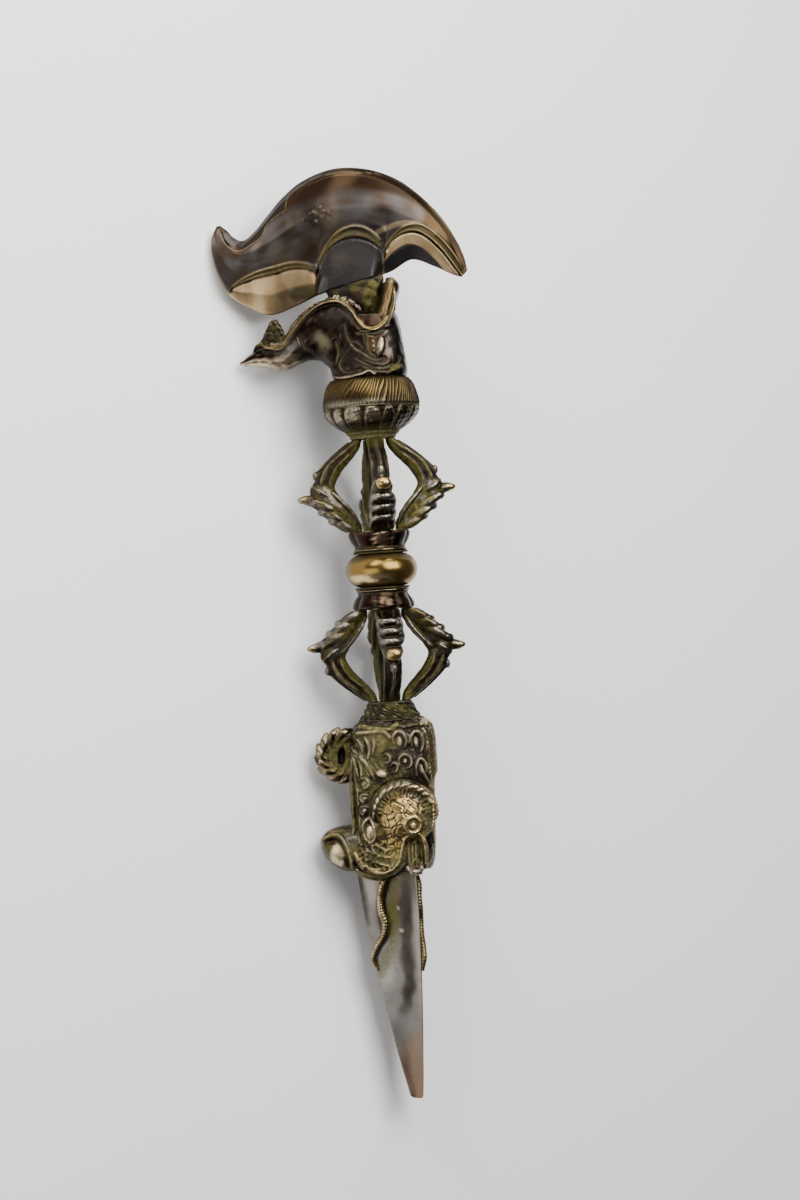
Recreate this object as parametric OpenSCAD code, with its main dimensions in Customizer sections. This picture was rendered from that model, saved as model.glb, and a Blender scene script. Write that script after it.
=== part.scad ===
// Phurba lying on its side: a three-edged blade held in the mouth of a makara
// head, a handle of two four-pronged cages round a brass ring, and a second
// makara head that bites on a crescent chopper.
// Everything is drawn round the handle's axis, which runs along Y with the
// blade towards -Y and the faces of both heads looking towards -X.

/* [Centre ring] */
// Outside radius of the brass ring between the cages
ring_radius = 9.7; // [8.6:0.1:12]
// Height of the ring along the handle
ring_height = 9; // [7:0.1:11]
// Radius of the thin washers on both sides of the ring
washer_radius = 7.4; // [6.8:0.1:8]
// Thickness of a washer
washer_thickness = 0.6; // [0.4:0.05:1.2]

/* [Hubs] */
// Radius of the petalled hub that holds the roots of the prongs
hub_radius = 8.4; // [7.8:0.1:9]
// Height of the hub
hub_height = 5.5; // [4.5:0.1:8]
// Number of petals round a hub
hub_petals = 8; // [6:1:12]

/* [Cages] */
// Length of a cage from its hub to its crown
cage_length = 24.8; // [21:0.2:29]
// Reach of a prong's point from the axis
cage_radius = 21.8; // [19:0.1:24]
// Width of a prong across its beast head
beast_width = 7; // [5.5:0.1:7.6]
// Width of a prong's plain arm
arm_width = 4.4; // [3.4:0.1:5.2]
// Bands round the beast head of each prong
band_count = 4; // [3:1:5]
// How far the bands stand out
band_height = 0.5; // [0.2:0.05:0.8]
// Turn of both cages about the handle
cage_turn = 6; // [0:1:12]
// Radius of the tenon at each end of a prong
tenon_radius = 0.9; // [0.6:0.05:1]
// Length of each tenon
tenon_length = 1.2; // [0.6:0.1:1.3]

/* [Crowns, lotus and mane] */
// Radius of the crowns that gather the ends of the prongs
crown_radius = 6.2; // [5.9:0.1:6.8]
// Height of the crown over the guard
lower_crown_height = 5; // [4:0.1:7]
// Height of the crown under the lotus
upper_crown_height = 1.6; // [1.5:0.1:3]
// Largest radius of the lotus and the mane
mane_radius = 13.3; // [12:0.1:15]
// Height of the lotus cup
lotus_height = 6.9; // [5.5:0.1:9]
// Number of lotus petals
petal_count = 16; // [12:1:20]
// Height of the ring of mane above the lotus
mane_height = 7.7; // [6:0.1:10]

/* [Finial head] */
// Reach of the snout's tip from the axis
snout_reach = 34.7; // [30:0.1:38]
// Half width of the head across its cheeks
finial_half_width = 8.6; // [7.8:0.1:9.4]

/* [Crescent] */
// Width of the crescent from its horn to its point
crescent_span = 68.8; // [60:0.5:76]
// Height of the crescent from its lowest edge to its crown
crescent_rise = 38.4; // [35:0.1:42]
// Thickness of the crescent at its middle
crescent_thickness = 8.6; // [7:0.1:10]
// Width of the bevel along the outer edge
bevel_width = 2.2; // [1:0.1:3.2]
// Depth of the step inside the scalloped line
scallop_depth = 0.8; // [0.3:0.05:1.1]

/* [Guard head] */
// Length of the guard from its shoulder to its lower lip
guard_length = 40.4; // [38:0.2:46]
// Half thickness of the guard across its sides
guard_half_width = 10.6; // [10:0.1:12]
// Radius of the corded ruff round each cheek
ruff_radius = 8.1; // [7.4:0.1:8.6]
// Thickness of the ruff's cord
ruff_cord = 1.8; // [1.2:0.1:2.2]
// Radius of the cords along the lips
lip_cord = 0.8; // [0.5:0.05:1]
// Radius of the cords of the trunk's fluted band
band_cord = 0.7; // [0.4:0.05:0.9]
// Radius of the cords round the curls
curl_cord = 0.55; // [0.4:0.05:0.7]
// How far the roll of the lower lip hangs over the blade
lip_overhang = 2; // [1:0.1:2.4]
// Reach of the crest from the axis
crest_reach = 21.4; // [19:0.1:24]
// Thickness of the crest
crest_thickness = 5.6; // [4.4:0.1:7]

/* [Blade] */
// Length of the blade from the guard's lip to its point
blade_length = 62; // [52:0.5:72]
// Radius of the blade's edges at the guard
blade_radius = 11; // [9.5:0.1:11.8]
// Radius of the edges near the blunt point
point_radius = 2.3; // [1.6:0.1:3.2]
// Hollow of the faces, where 0.5 is flat and less is hollow
face_hollow = 0.38; // [0.32:0.01:0.46]
// Lean of the blade away from the snout
blade_lean = 2.3; // [0:0.1:3]
// Thickness of a serpent's body
serpent_thickness = 1.7; // [1.2:0.1:2.2]
// Length of a serpent on the blade
serpent_length = 26; // [18:0.5:32]

/* [Joints inside] */
// Radius of the core rod that all the pieces of the handle are threaded on
rod_radius = 2.5; // [2:0.1:2.8]
// Radius of the cross rivet whose ends are the guard's eyes
rivet_radius = 0.8; // [0.6:0.05:1]
// Width of the blade's flat tang
blade_tang_width = 12; // [11.5:0.1:13]
// Thickness of the blade's flat tang
blade_tang_thickness = 4.6; // [3:0.1:5.4]
// Thickness of the crescent's flat tang
crescent_tang_thickness = 4.4; // [3:0.1:5]
// Clearance between pieces that fit into each other
fit = 0.05; // [0.02:0.01:0.1]

/* [Rest] */
// Roll about the handle when it lies down
rest_roll = -36.03; // [-45:0.01:45]
// Pitch of the handle when it lies down
rest_pitch = 3.39; // [-15:0.01:15]
// Place of the ring's centre sideways
rest_x = 5.24; // [-40:0.01:40]
// Place of the ring's centre along the handle
rest_y = 16.89; // [-40:0.01:40]
// Height of the ring's centre over the surface
rest_z = 19.94; // [10:0.01:40]

/* [Hidden] */
$fn = 48;

// Stations along the handle, counted from the ring's centre
hub_seat = ring_height / 2 + washer_thickness;
hub_face = hub_seat + hub_height;
crown_face = hub_face + cage_length;
guard_top = -crown_face - lower_crown_height;
guard_lip = guard_top - guard_length;
lotus_seat = crown_face + upper_crown_height;
mane_seat = lotus_seat + lotus_height;
head_seat = mane_seat + mane_height;

blade_tang_length = 18;
rod_bottom = guard_top - 16;
rod_top = head_seat + 8;
crescent_low = head_seat + 19;
hub_tenon_radius = 6.2;
crown_tenon_radius = 4.5;
eye_x = 4.2;
eye_y = guard_lip + 12.5;
crest_root = -11.9;
cheek_x = 2;
cheek_y = guard_lip + 15;

bronze = [0.36, 0.30, 0.20];
dark_bronze = [0.25, 0.19, 0.15];
brass = [0.62, 0.48, 0.24];
steel = [0.42, 0.41, 0.41];

// A smooth value at u of a list of numbers or points, where u counts list steps
function along(list, u) =
    let (last = len(list) - 1, i = max(0, min(floor(u), last - 1)), f = u - i,
         a = list[max(i - 1, 0)], b = list[i], c = list[i + 1], d = list[min(i + 2, last)])
    b + f * (c - a) / 2 + f * f * (2 * a - 5 * b + 4 * c - d) / 2
        + f * f * f * (3 * b - a - 3 * c + d) / 2;

function total(list) = list * [for (v = list) 1];
function middle(ring) = [for (k = [0:2]) total([for (p = ring) p[k]]) / len(ring)];
function round_off(v, power) = sign(v) * pow(abs(v), power);
// Points round an oval; power 1 is an ellipse and a smaller power is squarer
function oval(a, b, sides, power = 1) =
    [for (j = [0:sides - 1])
        [a * round_off(cos(360 * j / sides), power), b * round_off(sin(360 * j / sides), power)]];

// A closed solid through rings of points, with its faces turned outward
module loft(rings) {
    n = len(rings);
    m = len(rings[0]);
    points = [each [for (r = rings) each r], middle(rings[0]), middle(rings[n - 1])];
    faces = [
        for (i = [0:n - 2], j = [0:m - 1])
            let (k = (j + 1) % m, low = i * m, high = low + m)
                each [[low + j, high + j, high + k], [low + j, high + k, low + k]],
        for (j = [0:m - 1])
            let (k = (j + 1) % m, low = (n - 1) * m)
                each [[n * m, j, k], [n * m + 1, low + k, low + j]]];
    volume = total([for (f = faces) points[f[0]] * cross(points[f[1]], points[f[2]])]);
    polyhedron(points, volume < 0 ? faces : [for (f = faces) [f[2], f[1], f[0]]]);
}

// A raised cord through a list of points on one side of a head, thinner at both ends
module cord(points, radius, steps) {
    last = len(points) - 1;
    loft([for (i = [0:steps])
        let (u = last * i / steps, d = along(points, min(u + 0.1, last)) - along(points, max(u - 0.1, 0)),
             e = [-d[1], d[0], 0] / norm([d[0], d[1]]), r = radius * (i == 0 || i == steps ? 0.5 : 1))
        [for (p = oval(r, r, 6)) along(points, u) + p[0] * e + [0, 0, p[1]]]]);
}

// A curl of hair: a cord that winds from a start angle round a low boss, closer at its end
module curl(centre, radius, start, sweep) {
    boss = 0.62 * radius;
    cord([for (i = [0:5]) let (a = start + sweep * i / 5, r = radius * (1 - 0.05 * i))
        centre + [r * cos(a), r * sin(a), 0]], curl_cord, 8);
    translate(centre - [0, 0, 0.5 * boss]) sphere(boss);
}

// Children are drawn on both sides of a head
module both_sides() {
    children();
    mirror([0, 0, 1]) children();
}

// Children are drawn along local Z from a station on the handle's axis
module on_axis(y) {
    translate([0, y, 0]) rotate([-90, 0, 0]) children();
}

// The lying part rests on the crescent's edge, the guard's snout and one prong
module laid() {
    translate([rest_x, rest_y, rest_z]) rotate([rest_pitch, 0, 0]) rotate([0, rest_roll, 0]) children();
}

function blade_radius_at(f) = blade_radius - (blade_radius - point_radius) * pow(f, 1.5);

// A point on the blade at fraction f of its length and t across one hollow face.
// Face 0 looks to the back of the head, face 1 to the front and face 2 to the rear.
function blade_point(f, face, t) =
    let (a = 120 * face - 60, hollow = (0.5 - face_hollow) * 4 * t * (1 - t), r = blade_radius_at(f),
         x = cos(a) * (1 - t) + cos(a + 120) * t - cos(a + 60) * hollow,
         z = sin(a) * (1 - t) + sin(a + 120) * t - sin(a + 60) * hollow)
    [blade_lean * (f - 0.5) + r * x, guard_lip - fit - blade_length * f, r * z];

// A point scaled towards the middle of the blade for the blunt end
function blunted(p, f, size) =
    let (centre = blade_lean * (f - 0.5)) [centre + (p[0] - centre) * size, p[1], p[2] * size];

module blade() {
    steps = 16;
    across = [0.03, 0.2, 0.4, 0.6, 0.8, 0.97];
    color(steel) difference() {
        union() {
            loft([for (i = [0:steps]) let (f = i < steps ? i / (steps - 0.8) : 1, size = i < steps ? 1 : 0.7)
                [for (face = [0:2], t = across) blunted(blade_point(f, face, t), f, size)]]);
            translate([-blade_tang_width / 2, guard_lip - 0.3, -blade_tang_thickness / 2])
                cube([blade_tang_width, blade_tang_length + 0.3, blade_tang_thickness]);
        }
        translate([eye_x, eye_y, 0])
            cylinder(h = 2 * blade_tang_thickness, r = rivet_radius + fit, center = true);
    }
}

// A serpent that winds down one face of the blade from the mouth
module serpent(face) {
    steps = 26;
    sides = 6;
    bends = [0.51, 0.6, 0.66, 0.67, 0.63, 0.68, 0.84, 0.95, 0.93];
    thickness = [0.8, 1.1, 0.9, 0.95, 0.95, 0.9, 0.8, 0.6, 0.3] * serpent_thickness / 2;
    normal = [cos(120 * face), 0, sin(120 * face)];
    color(bronze) loft([for (i = [0:steps])
        let (u = 8 * i / steps, f = (1 + serpent_length * i / steps) / blade_length, t = along(bends, u),
             r = along(thickness, u), c = blade_point(f, face, t) + normal * (1.06 * r + fit),
             ahead = blade_point(f + 0.01, face, along(bends, min(u + 0.2, 8))),
             behind = blade_point(f - 0.01, face, along(bends, max(u - 0.2, 0))),
             d = ahead - behind, side = cross(d, normal), e = side / norm(side),
             up = cross(e, d), n = up / norm(up))
        [for (p = oval(r, r, sides)) c + p[0] * e + p[1] * n]]);
}

// The body of the guard's makara, from its shoulder to its lower lip
module guard_skull() {
    // Distance from the shoulder, edge on the snout's side, edge at the back, share of the half width
    stations = [[0, -8.6, 9.6, 0.84], [1.2, -10.4, 11, 0.94], [4, -11.4, 11.7, 1], [14, -11.9, 11.7, 1],
        [17, -12.3, 10.8, 0.98], [27, -12.4, 10.3, 0.97], [34, -12.5, 10, 0.97], [38.4, -12.5, 9.4, 0.94],
        [40.4, -12.2, 8.6, 0.86]];
    loft([for (s = stations) let (size = guard_length / 40.4)
        [for (p = oval((s[2] - s[1]) / 2, guard_half_width * s[3], 28, 0.7))
            [(s[1] + s[2]) / 2 + p[0], guard_top - s[0] * size, p[1]]]]);
}

// The upturned lip of the guard's snout
module guard_snout() {
    // Distance from the axis, upper edge, lower edge and half width
    stations = [[8, 13.5, 0.6, 8.4], [12.5, 12.6, 0.2, 7.8], [15.5, 12.4, 0.8, 7], [18, 11.9, 2.4, 6.2],
        [20, 10.8, 4.6, 4.8], [21, 9.4, 7, 2.4]];
    loft([for (s = stations) [for (p = oval((s[1] - s[2]) / 2, s[3], 20, 0.8))
        [-s[0], guard_lip + (s[1] + s[2]) / 2 + p[0], p[1]]]]);
}

module guard_cheek() {
    dome = 2.4;
    cheek_radius = ruff_radius - ruff_cord;
    ball = (cheek_radius * cheek_radius + dome * dome) / (2 * dome);
    seat = guard_half_width - 1.2;
    translate([cheek_x, cheek_y, 0]) {
        cylinder(h = seat, r = ruff_radius);
        intersection() {
            translate([0, 0, seat + dome - ball]) sphere(ball);
            translate([0, 0, seat - 2]) cylinder(h = 2 * dome + 2, r = cheek_radius);
        }
        translate([0, 0, seat]) rotate([0, 0, -8])
            rotate_extrude(angle = 190) translate([ruff_radius, 0]) circle(ruff_cord / 2, $fn = 16);
    }
}

// Height of the guard's side over its middle plane, a little inside the surface
function guard_side(x) =
    (guard_half_width - 0.3) * pow(1 - pow(min(abs(x + 0.6) / 12.1, 0.97), 2.86), 0.35);
// A point on the guard's side, placed from its lower lip or from its shoulder
function from_lip(x, y) = [x, guard_lip + y, guard_side(x)];
function from_top(x, y) = [x, guard_top - y, guard_side(x)];

// The cords in relief on one side of the guard: the lips, the fluted band of the trunk with its
// drop, the ear and the curls behind the brow
module guard_cords() {
    lip = [from_lip(-12, 5.8), from_lip(-10.8, 3), from_lip(-8, 0.8), from_lip(-4.8, 0.2), from_lip(-2, 1),
        from_lip(0, 3), from_lip(0.7, 5.8), from_lip(1.5, 8.2), from_lip(3.9, 9.8), from_lip(6.3, 8.4),
        from_lip(7, 6), from_lip(6.9, 1.5)];
    cord(lip, lip_cord, 24);
    roll = guard_side(-4) - 0.9;
    cord([for (p = [[-12, 1.2], [-8.6, -0.5], [-4.4, -1], [-0.8, 0.2]])
        [p[0], guard_lip + 1 + (p[1] - 1) * lip_overhang / 2, roll]], 1.1, 8);
    cord([from_top(-10.4, 7), from_top(-11.3, 13), from_lip(-11.3, 19), from_lip(-11.4, 13),
        from_lip(-12, 10.5)], band_cord, 8);
    cord([from_top(-9.7, 7), from_top(-10.1, 13), from_lip(-9.9, 17), from_lip(-9.5, 11),
        from_lip(-8.6, 8.6), from_lip(-7.2, 7.8)], band_cord, 10);
    cord([from_top(-9, 6.4), from_top(-7.4, 11), from_top(-6.2, 15.6)], band_cord, 5);
    drop = from_lip(-7.2, 11);
    cord([for (i = [0:8]) let (a = 25 + 310 * i / 8) drop + [1.5 * sin(a), 3.4 * cos(a), 0]],
        curl_cord, 10);
    snout_lip = [[-19.2, 9.6, 4.4], [-17.6, 10.9, 5.4], [-15.2, 10.4, 6.6], [-13.8, 7.4, 7.5],
        [-13, 3.4, 7.6]];
    cord([for (p = snout_lip) [p[0], guard_lip + p[1], p[2]]], lip_cord, 8);
    curl(from_top(2.7, 6), 2, 200, -250);
    curl(from_top(6.9, 6.2), 1.7, 200, -240);
    curl(from_top(-4.6, 5.8), 1.6, 150, -230);
    curl(from_top(-1.9, 10.4), 1.7, 200, 240);
    curl(from_top(3.4, 11.6), 1.8, 180, -250);
}

// The arched recess at the corner of the mouth
module mouth_arch() {
    depth = 3.2;
    width = 3.8;
    translate([3.9, guard_lip + 6.8, guard_half_width - depth]) {
        cylinder(h = 2 * depth, r = width / 2);
        translate([-width / 2, -12, 0]) cube([width, 12, 2 * depth]);
    }
}

module guard_head() {
    color(bronze) difference() {
        union() {
            guard_skull();
            guard_snout();
            both_sides() {
                guard_cheek();
                guard_cords();
            }
        }
        both_sides() mouth_arch();
        on_axis(rod_bottom - fit) cylinder(h = guard_length, r = rod_radius + fit);
        translate([-blade_tang_width / 2 - fit, guard_lip - 5, -blade_tang_thickness / 2 - fit])
            cube([blade_tang_width + 2 * fit, blade_tang_length + 5 + fit, blade_tang_thickness + 2 * fit]);
        translate([eye_x, eye_y, 0])
            cylinder(h = 3 * guard_half_width, r = rivet_radius + fit, center = true);
        crest_tab(fit);
        translate([crest_root - 20 + fit, guard_top - 20, -guard_half_width])
            cube([20, 19, 2 * guard_half_width]);
    }
}

// The tab that holds the crest, larger by a gap for its slot
module crest_tab(gap) {
    translate([crest_root - 1, guard_top - 13 - gap, -1.2 - gap])
        cube([4 + gap, 9 + 2 * gap, 2.4 + 2 * gap]);
}

// The pierced crest of flames over the brow
module guard_crest() {
    lobes = 8;
    steps = 7;
    centre = [crest_root - 1.7, guard_top - 9];
    reach = crest_reach + centre[0];
    outline = [for (i = [0:lobes * steps])
        let (a = 78 + 204 * i / (lobes * steps), flame = pow(abs(sin(180 * i / steps)), 0.55),
             r = reach * (0.74 + 0.26 * flame))
        [min(centre[0] + r * cos(a), crest_root), centre[1] + r * sin(a)]];
    levels = [[-0.5, 0.86], [-0.3, 1], [0.3, 1], [0.5, 0.86]];
    color(bronze) difference() {
        union() {
            loft([for (l = levels) let (size = l[1]) [for (p = outline)
                [crest_root + (p[0] - crest_root) * size, centre[1] + (p[1] - centre[1]) * size,
                    l[0] * crest_thickness]]]);
            crest_tab(0);
        }
        translate([centre[0] - 0.3, centre[1] - 1, -crest_thickness]) hull() {
            cylinder(h = 2 * crest_thickness, r = 0.95, $fn = 24);
            translate([0.2, 2.8, 0]) cylinder(h = 2 * crest_thickness, r = 0.25, $fn = 24);
        }
    }
}

// The cross rivet through the tang of the blade, with a round end in each eye
module guard_rivet() {
    length = guard_half_width + 0.9;
    color(brass) translate([eye_x, eye_y, 0]) {
        cylinder(h = 2 * length, r = rivet_radius, center = true);
        for (side = [-1, 1])
            translate([0, 0, side * length]) sphere(rivet_radius);
    }
}

module core_rod() {
    color(steel) on_axis(rod_bottom) cylinder(h = rod_top - rod_bottom, r = rod_radius);
}

// The bores that a threaded piece needs: one for the rod and four for tenons in its face
module rod_bore() {
    translate([0, 0, -50]) cylinder(h = 100, r = rod_radius + fit);
}

module tenon_bores(radius, face) {
    for (k = [0:3])
        rotate([0, 0, cage_turn + 90 * k])
            translate([radius, 0, face - tenon_length - fit])
                cylinder(h = 10, r = tenon_radius + fit, $fn = 24);
}

// A hub in its own frame, with its seat at 0 and the prongs on its upper face
module hub() {
    color(dark_bronze) difference() {
        rotate_extrude() polygon([[0, 0], [washer_radius - 0.5, 0], [washer_radius - 0.3, 0.5],
            [washer_radius - 0.6, 1.2], [hub_radius - 0.5, hub_height * 0.55],
            [hub_radius, hub_height * 0.82], [hub_radius - 0.4, hub_height], [0, hub_height]]);
        rod_bore();
        tenon_bores(hub_tenon_radius, hub_height);
        for (k = [0:hub_petals - 1])
            rotate([0, 0, 360 * (k + 0.5) / hub_petals]) translate([hub_radius + 0.1, 0, hub_height * 0.6])
                rotate([0, 10, 0]) cylinder(h = hub_height, r = 0.55, center = true, $fn = 16);
    }
}

module washer() {
    color(dark_bronze) difference() {
        cylinder(h = washer_thickness - fit, r = washer_radius);
        rod_bore();
    }
}

module centre_ring() {
    color(brass) on_axis(0) difference() {
        rotate_extrude() {
            translate([0, -ring_height / 2]) square([ring_radius - ring_height / 2, ring_height]);
            translate([ring_radius - ring_height / 2, 0]) circle(ring_height / 2);
        }
        rod_bore();
    }
}

// One prong in the cage's own frame: radial along X, with its root at 0 and its tip end on the crown
module prong() {
    steps = 30;
    sides = 10;
    outer = [8, 11, 14.3, 16.6, 19.3, cage_radius, 18.6, 16.6, 15, 13.2, 11, 8.6, 5.9];
    inner = [4.6, 4.7, 5.8, 7.4, 8.9, 10.3, 11.2, 10.4, 9, 7.2, 5.2, 3.8, 3.3];
    head_share = [0.86, 0.98, 1, 1, 0.85, 0.35, 0.05, 0, 0, 0, 0, -0.05, -0.25];
    band_start = 0.06;
    band_end = 0.36;
    color(dark_bronze) {
        loft([for (i = [0:steps])
            let (f = i / steps, u = 12 * f, banded = f > band_start && f < band_end,
                 wave = banded ? abs(sin(180 * band_count * (f - band_start) / (band_end - band_start))) : 0,
                 out = along(outer, u) + band_height * wave, in = along(inner, u),
                 width = arm_width + (beast_width - arm_width) * along(head_share, u),
                 half = width / 2 + band_height * wave)
            [for (p = oval((out - in) / 2, half, sides, 0.9))
                [(out + in) / 2 + p[0], p[1], fit + (cage_length - 2 * fit) * f]]]);
        translate([hub_tenon_radius, 0, -tenon_length])
            cylinder(h = tenon_length + 1, r = tenon_radius, $fn = 24);
        translate([crown_tenon_radius, 0, cage_length - 1])
            cylinder(h = tenon_length + 1, r = tenon_radius, $fn = 24);
    }
}

module upper_prong(place) {
    on_axis(hub_face) rotate([0, 0, cage_turn + 90 * place]) prong();
}

module lower_prong(place) {
    mirror([0, 1, 0]) upper_prong(place);
}

module upper_hub() {
    on_axis(hub_seat) hub();
}

module upper_washer() {
    on_axis(ring_height / 2) washer();
}

// The crown over the guard widens from the cage to the guard's shoulder
module lower_crown() {
    height = lower_crown_height - fit;
    color(bronze) mirror([0, 1, 0]) on_axis(crown_face + fit) difference() {
        rotate_extrude() polygon([[0, 0], [crown_radius - 0.3, 0], [crown_radius, 0.5],
            [crown_radius - 0.1, height * 0.3],
            [crown_radius + 0.6, height * 0.6], [crown_radius + 1.8, height * 0.85],
            [crown_radius + 2.2, height], [0, height]]);
        rod_bore();
        mirror([0, 0, 1]) tenon_bores(crown_tenon_radius, 0);
    }
}

module upper_crown() {
    height = upper_crown_height - fit;
    color(bronze) on_axis(crown_face + fit) difference() {
        rotate_extrude() polygon([[0, 0], [crown_radius - 0.4, 0], [crown_radius, 0.4],
            [crown_radius + 0.2, height * 0.6],
            [crown_radius + 0.8, height], [0, height]]);
        rod_bore();
        mirror([0, 0, 1]) tenon_bores(crown_tenon_radius, 0);
    }
}

// The lotus cup in its own frame; its petals are parted by slanting grooves
module lotus_cup() {
    foot = crown_radius + 1;
    rim = mane_radius - 0.3;
    height = lotus_height - fit;
    slope = atan((rim - foot) / height);
    color(bronze) on_axis(lotus_seat) difference() {
        rotate_extrude() polygon([[0, 0], [foot, 0], each [for (i = [0:6]) let (f = i / 6)
            [foot + (rim - foot) * pow(sin(90 * f), 0.9), height * (0.05 + 0.9 * f)]],
            [rim - 0.5, height], [0, height]]);
        rod_bore();
        for (k = [0:petal_count - 1])
            rotate([0, 0, 360 * k / petal_count]) translate([(foot + rim) / 2 + 1.9, 0, height / 2])
                rotate([0, slope, 0]) cylinder(h = 2 * height, r = 0.7, center = true, $fn = 16);
    }
}

module mane_ring() {
    height = mane_height - fit;
    color(brass) on_axis(mane_seat) difference() {
        rotate_extrude() polygon([[0, 0], [mane_radius - 0.4, 0], each [for (i = [0:8])
            let (a = 12 + 74 * i / 8, rise = (sin(a) - sin(12)) / (sin(86) - sin(12)))
                [mane_radius - 3.4 * (1 - cos(a)), height * (0.03 + 0.97 * rise)]], [0, height]]);
        rod_bore();
    }
}

module finial_skull() {
    // Distance above the mane, edge on the snout's side, edge at the back, share of the half width
    stations = [[0, -9.6, 9.9, 1.1], [1.6, -10, 10.5, 1.12], [5, -10.6, 10.3, 1.04], [9, -11, 9.8, 1],
        [13.5, -10.5, 9.3, 0.98], [17, -9, 8.6, 0.88]];
    loft([for (s = stations) [for (p = oval((s[2] - s[1]) / 2, finial_half_width * s[3], 28, 0.85))
        [(s[1] + s[2]) / 2 + p[0], head_seat + s[0], p[1]]]]);
}

module finial_snout() {
    // Distance from the axis, lower edge and upper edge above the mane, share of the half width
    stations = [[-2, 6, 17.4, 0.86], [1, 4, 19.4, 0.94], [4, 3, 21.8, 0.97], [7, 3, 23, 0.95],
        [10, 3.4, 22.5, 0.88], [13, 5.8, 21.4, 0.78], [16, 6, 19.8, 0.7], [19, 5, 17.4, 0.62],
        [22, 3.8, 13.2, 0.54], [25, 3.7, 11, 0.45], [28, 4.9, 9.9, 0.35], [31, 5.4, 9, 0.26],
        [33.5, 5.6, 7.3, 0.16], [34.7, 5.9, 6.7, 0.08]];
    size = snout_reach / 34.7;
    loft([for (s = stations) [for (p = oval((s[2] - s[1]) / 2, finial_half_width * s[3], 20, 0.85))
        [-s[0] * size, head_seat + (s[1] + s[2]) / 2 + p[0], p[1]]]]);
}

module finial_jaw() {
    // Distance above the mane, inner edge, outer edge, share of the half width
    stations = [[13, -1, 9.3, 0.9], [16.5, 1, 8.6, 0.84], [18.4, 2.8, 7.9, 0.76], [20.5, 3.6, 8.6, 0.68],
        [23.4, 4.3, 9.7, 0.58], [25.4, 5, 9.6, 0.46], [27, 6.4, 8.2, 0.28]];
    loft([for (s = stations) [for (p = oval((s[2] - s[1]) / 2, finial_half_width * s[3], 16, 0.85))
        [(s[1] + s[2]) / 2 + p[0], head_seat + s[0], p[1]]]]);
}

// The cord of the long lip and the curls of the cheek on one side of the head
module finial_cords() {
    // Distance from the axis towards the back, height above the mane and height over the middle plane
    lip = [[-27, 9.9, 3], [-23, 10.4, 3.8], [-19.5, 14, 4.7], [-16, 17.8, 5.2], [-12.5, 20.2, 5.8],
        [-9, 21, 6.4], [-6.5, 20.4, 7], [-4, 18.2, 7.6], [-2, 15.4, 7.8], [0, 13.3, 7.9], [2.2, 12.5, 7.7],
        [4.4, 13, 7.2], [6.2, 14.8, 6.5], [7.3, 17.2, 5.7], [8, 20.4, 4.7], [8.1, 24, 3.8]];
    wide = finial_half_width / 8.6;
    cord([for (p = lip) [p[0], head_seat + p[1], p[2] * wide]], lip_cord, 26);
    seat = finial_half_width - 0.3;
    cord([[-8.6, head_seat + 10.4, seat - 2], [-7.6, head_seat + 6.6, seat - 0.6],
        [-8.8, head_seat + 2, seat - 1.4]], curl_cord, 5);
    cord([[-4.4, head_seat + 9, seat], [-0.8, head_seat + 6, seat + 0.1],
        [4.5, head_seat + 5.2, seat + 0.1]], curl_cord, 5);
    curl([-4.2, head_seat + 11.6, seat], 1.7, 120, 250);
}

module finial_head() {
    fang = [[-30.2, 8], [-30.6, 10.4], [-28.6, 12.2], [-27, 15.4], [-24.7, 18.6], [-22.8, 16],
        [-21.6, 12.8], [-21.4, 8]];
    color(dark_bronze) difference() {
        union() {
            finial_skull();
            finial_snout();
            finial_jaw();
            translate([0, head_seat, -1.3]) linear_extrude(2.6) polygon(fang);
            both_sides() finial_cords();
        }
        on_axis(head_seat - 1) cylinder(h = rod_top - head_seat + 1 + fit, r = rod_radius + fit);
        crescent_tang(fit);
        crescent_neck(fit);
    }
}

// The neck of the crescent, which swells from its tang to fill the mouth; larger by a gap for its seat
module crescent_neck(gap) {
    // Height over the lowest edge, edge on the snout's side, edge at the back, half thickness
    stations = [[-2.4, -8.6, 4, 2.2], [0.6, -8.9, 4.1, 2.8], [3.6, -9.6, 4.5, 3.2], [6.6, -10.8, 5.4, 3.3],
        [8.6, -10.2, 5.6, 2.6]];
    loft([for (s = stations) [for (p = oval((s[2] - s[1]) / 2 + gap, s[3] + gap, 16, 0.7))
        [(s[1] + s[2]) / 2 + p[0], crescent_low + s[0], p[1]]]]);
}

// The flat tang of the crescent, larger by a gap for its slot
module crescent_tang(gap) {
    bottom = rod_top + 1.6;
    top = crescent_low + 7.8;
    translate([-8.6 - gap, bottom - gap, -crescent_tang_thickness / 2 - gap])
        cube([12.6 + 2 * gap, top - bottom + 2 * gap, crescent_tang_thickness + 2 * gap]);
}

// The outer rim and the inner edge of the crescent, matched point by point from the horn to the point
crescent_rim = [[-37.6, 95.6], [-35.7, 94], [-34, 92], [-31.5, 91.1], [-28.5, 93.2], [-25, 97],
    [-20.5, 101.8], [-14.5, 106.2], [-6, 108.9], [3, 108.2], [11, 104.9], [18, 99], [23.5, 92],
    [27.3, 84], [28.3, 79.2]];
crescent_edge = [[-38.6, 95.3], [-40.2, 92], [-40.4, 87.6], [-39, 81.5], [-36.2, 76.4], [-31, 73],
    [-25.5, 70.6], [-18.5, 72.6], [-11, 75.6], [-1, 78], [7.5, 80.2], [13.5, 83.1], [19.3, 81],
    [23.8, 78.6], [26.6, 77.5]];

// The scalloped line runs straight along the horn and then in three lobes, which meet in cusps
cusps = [4, 7.75, 9.75, 14];
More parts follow.
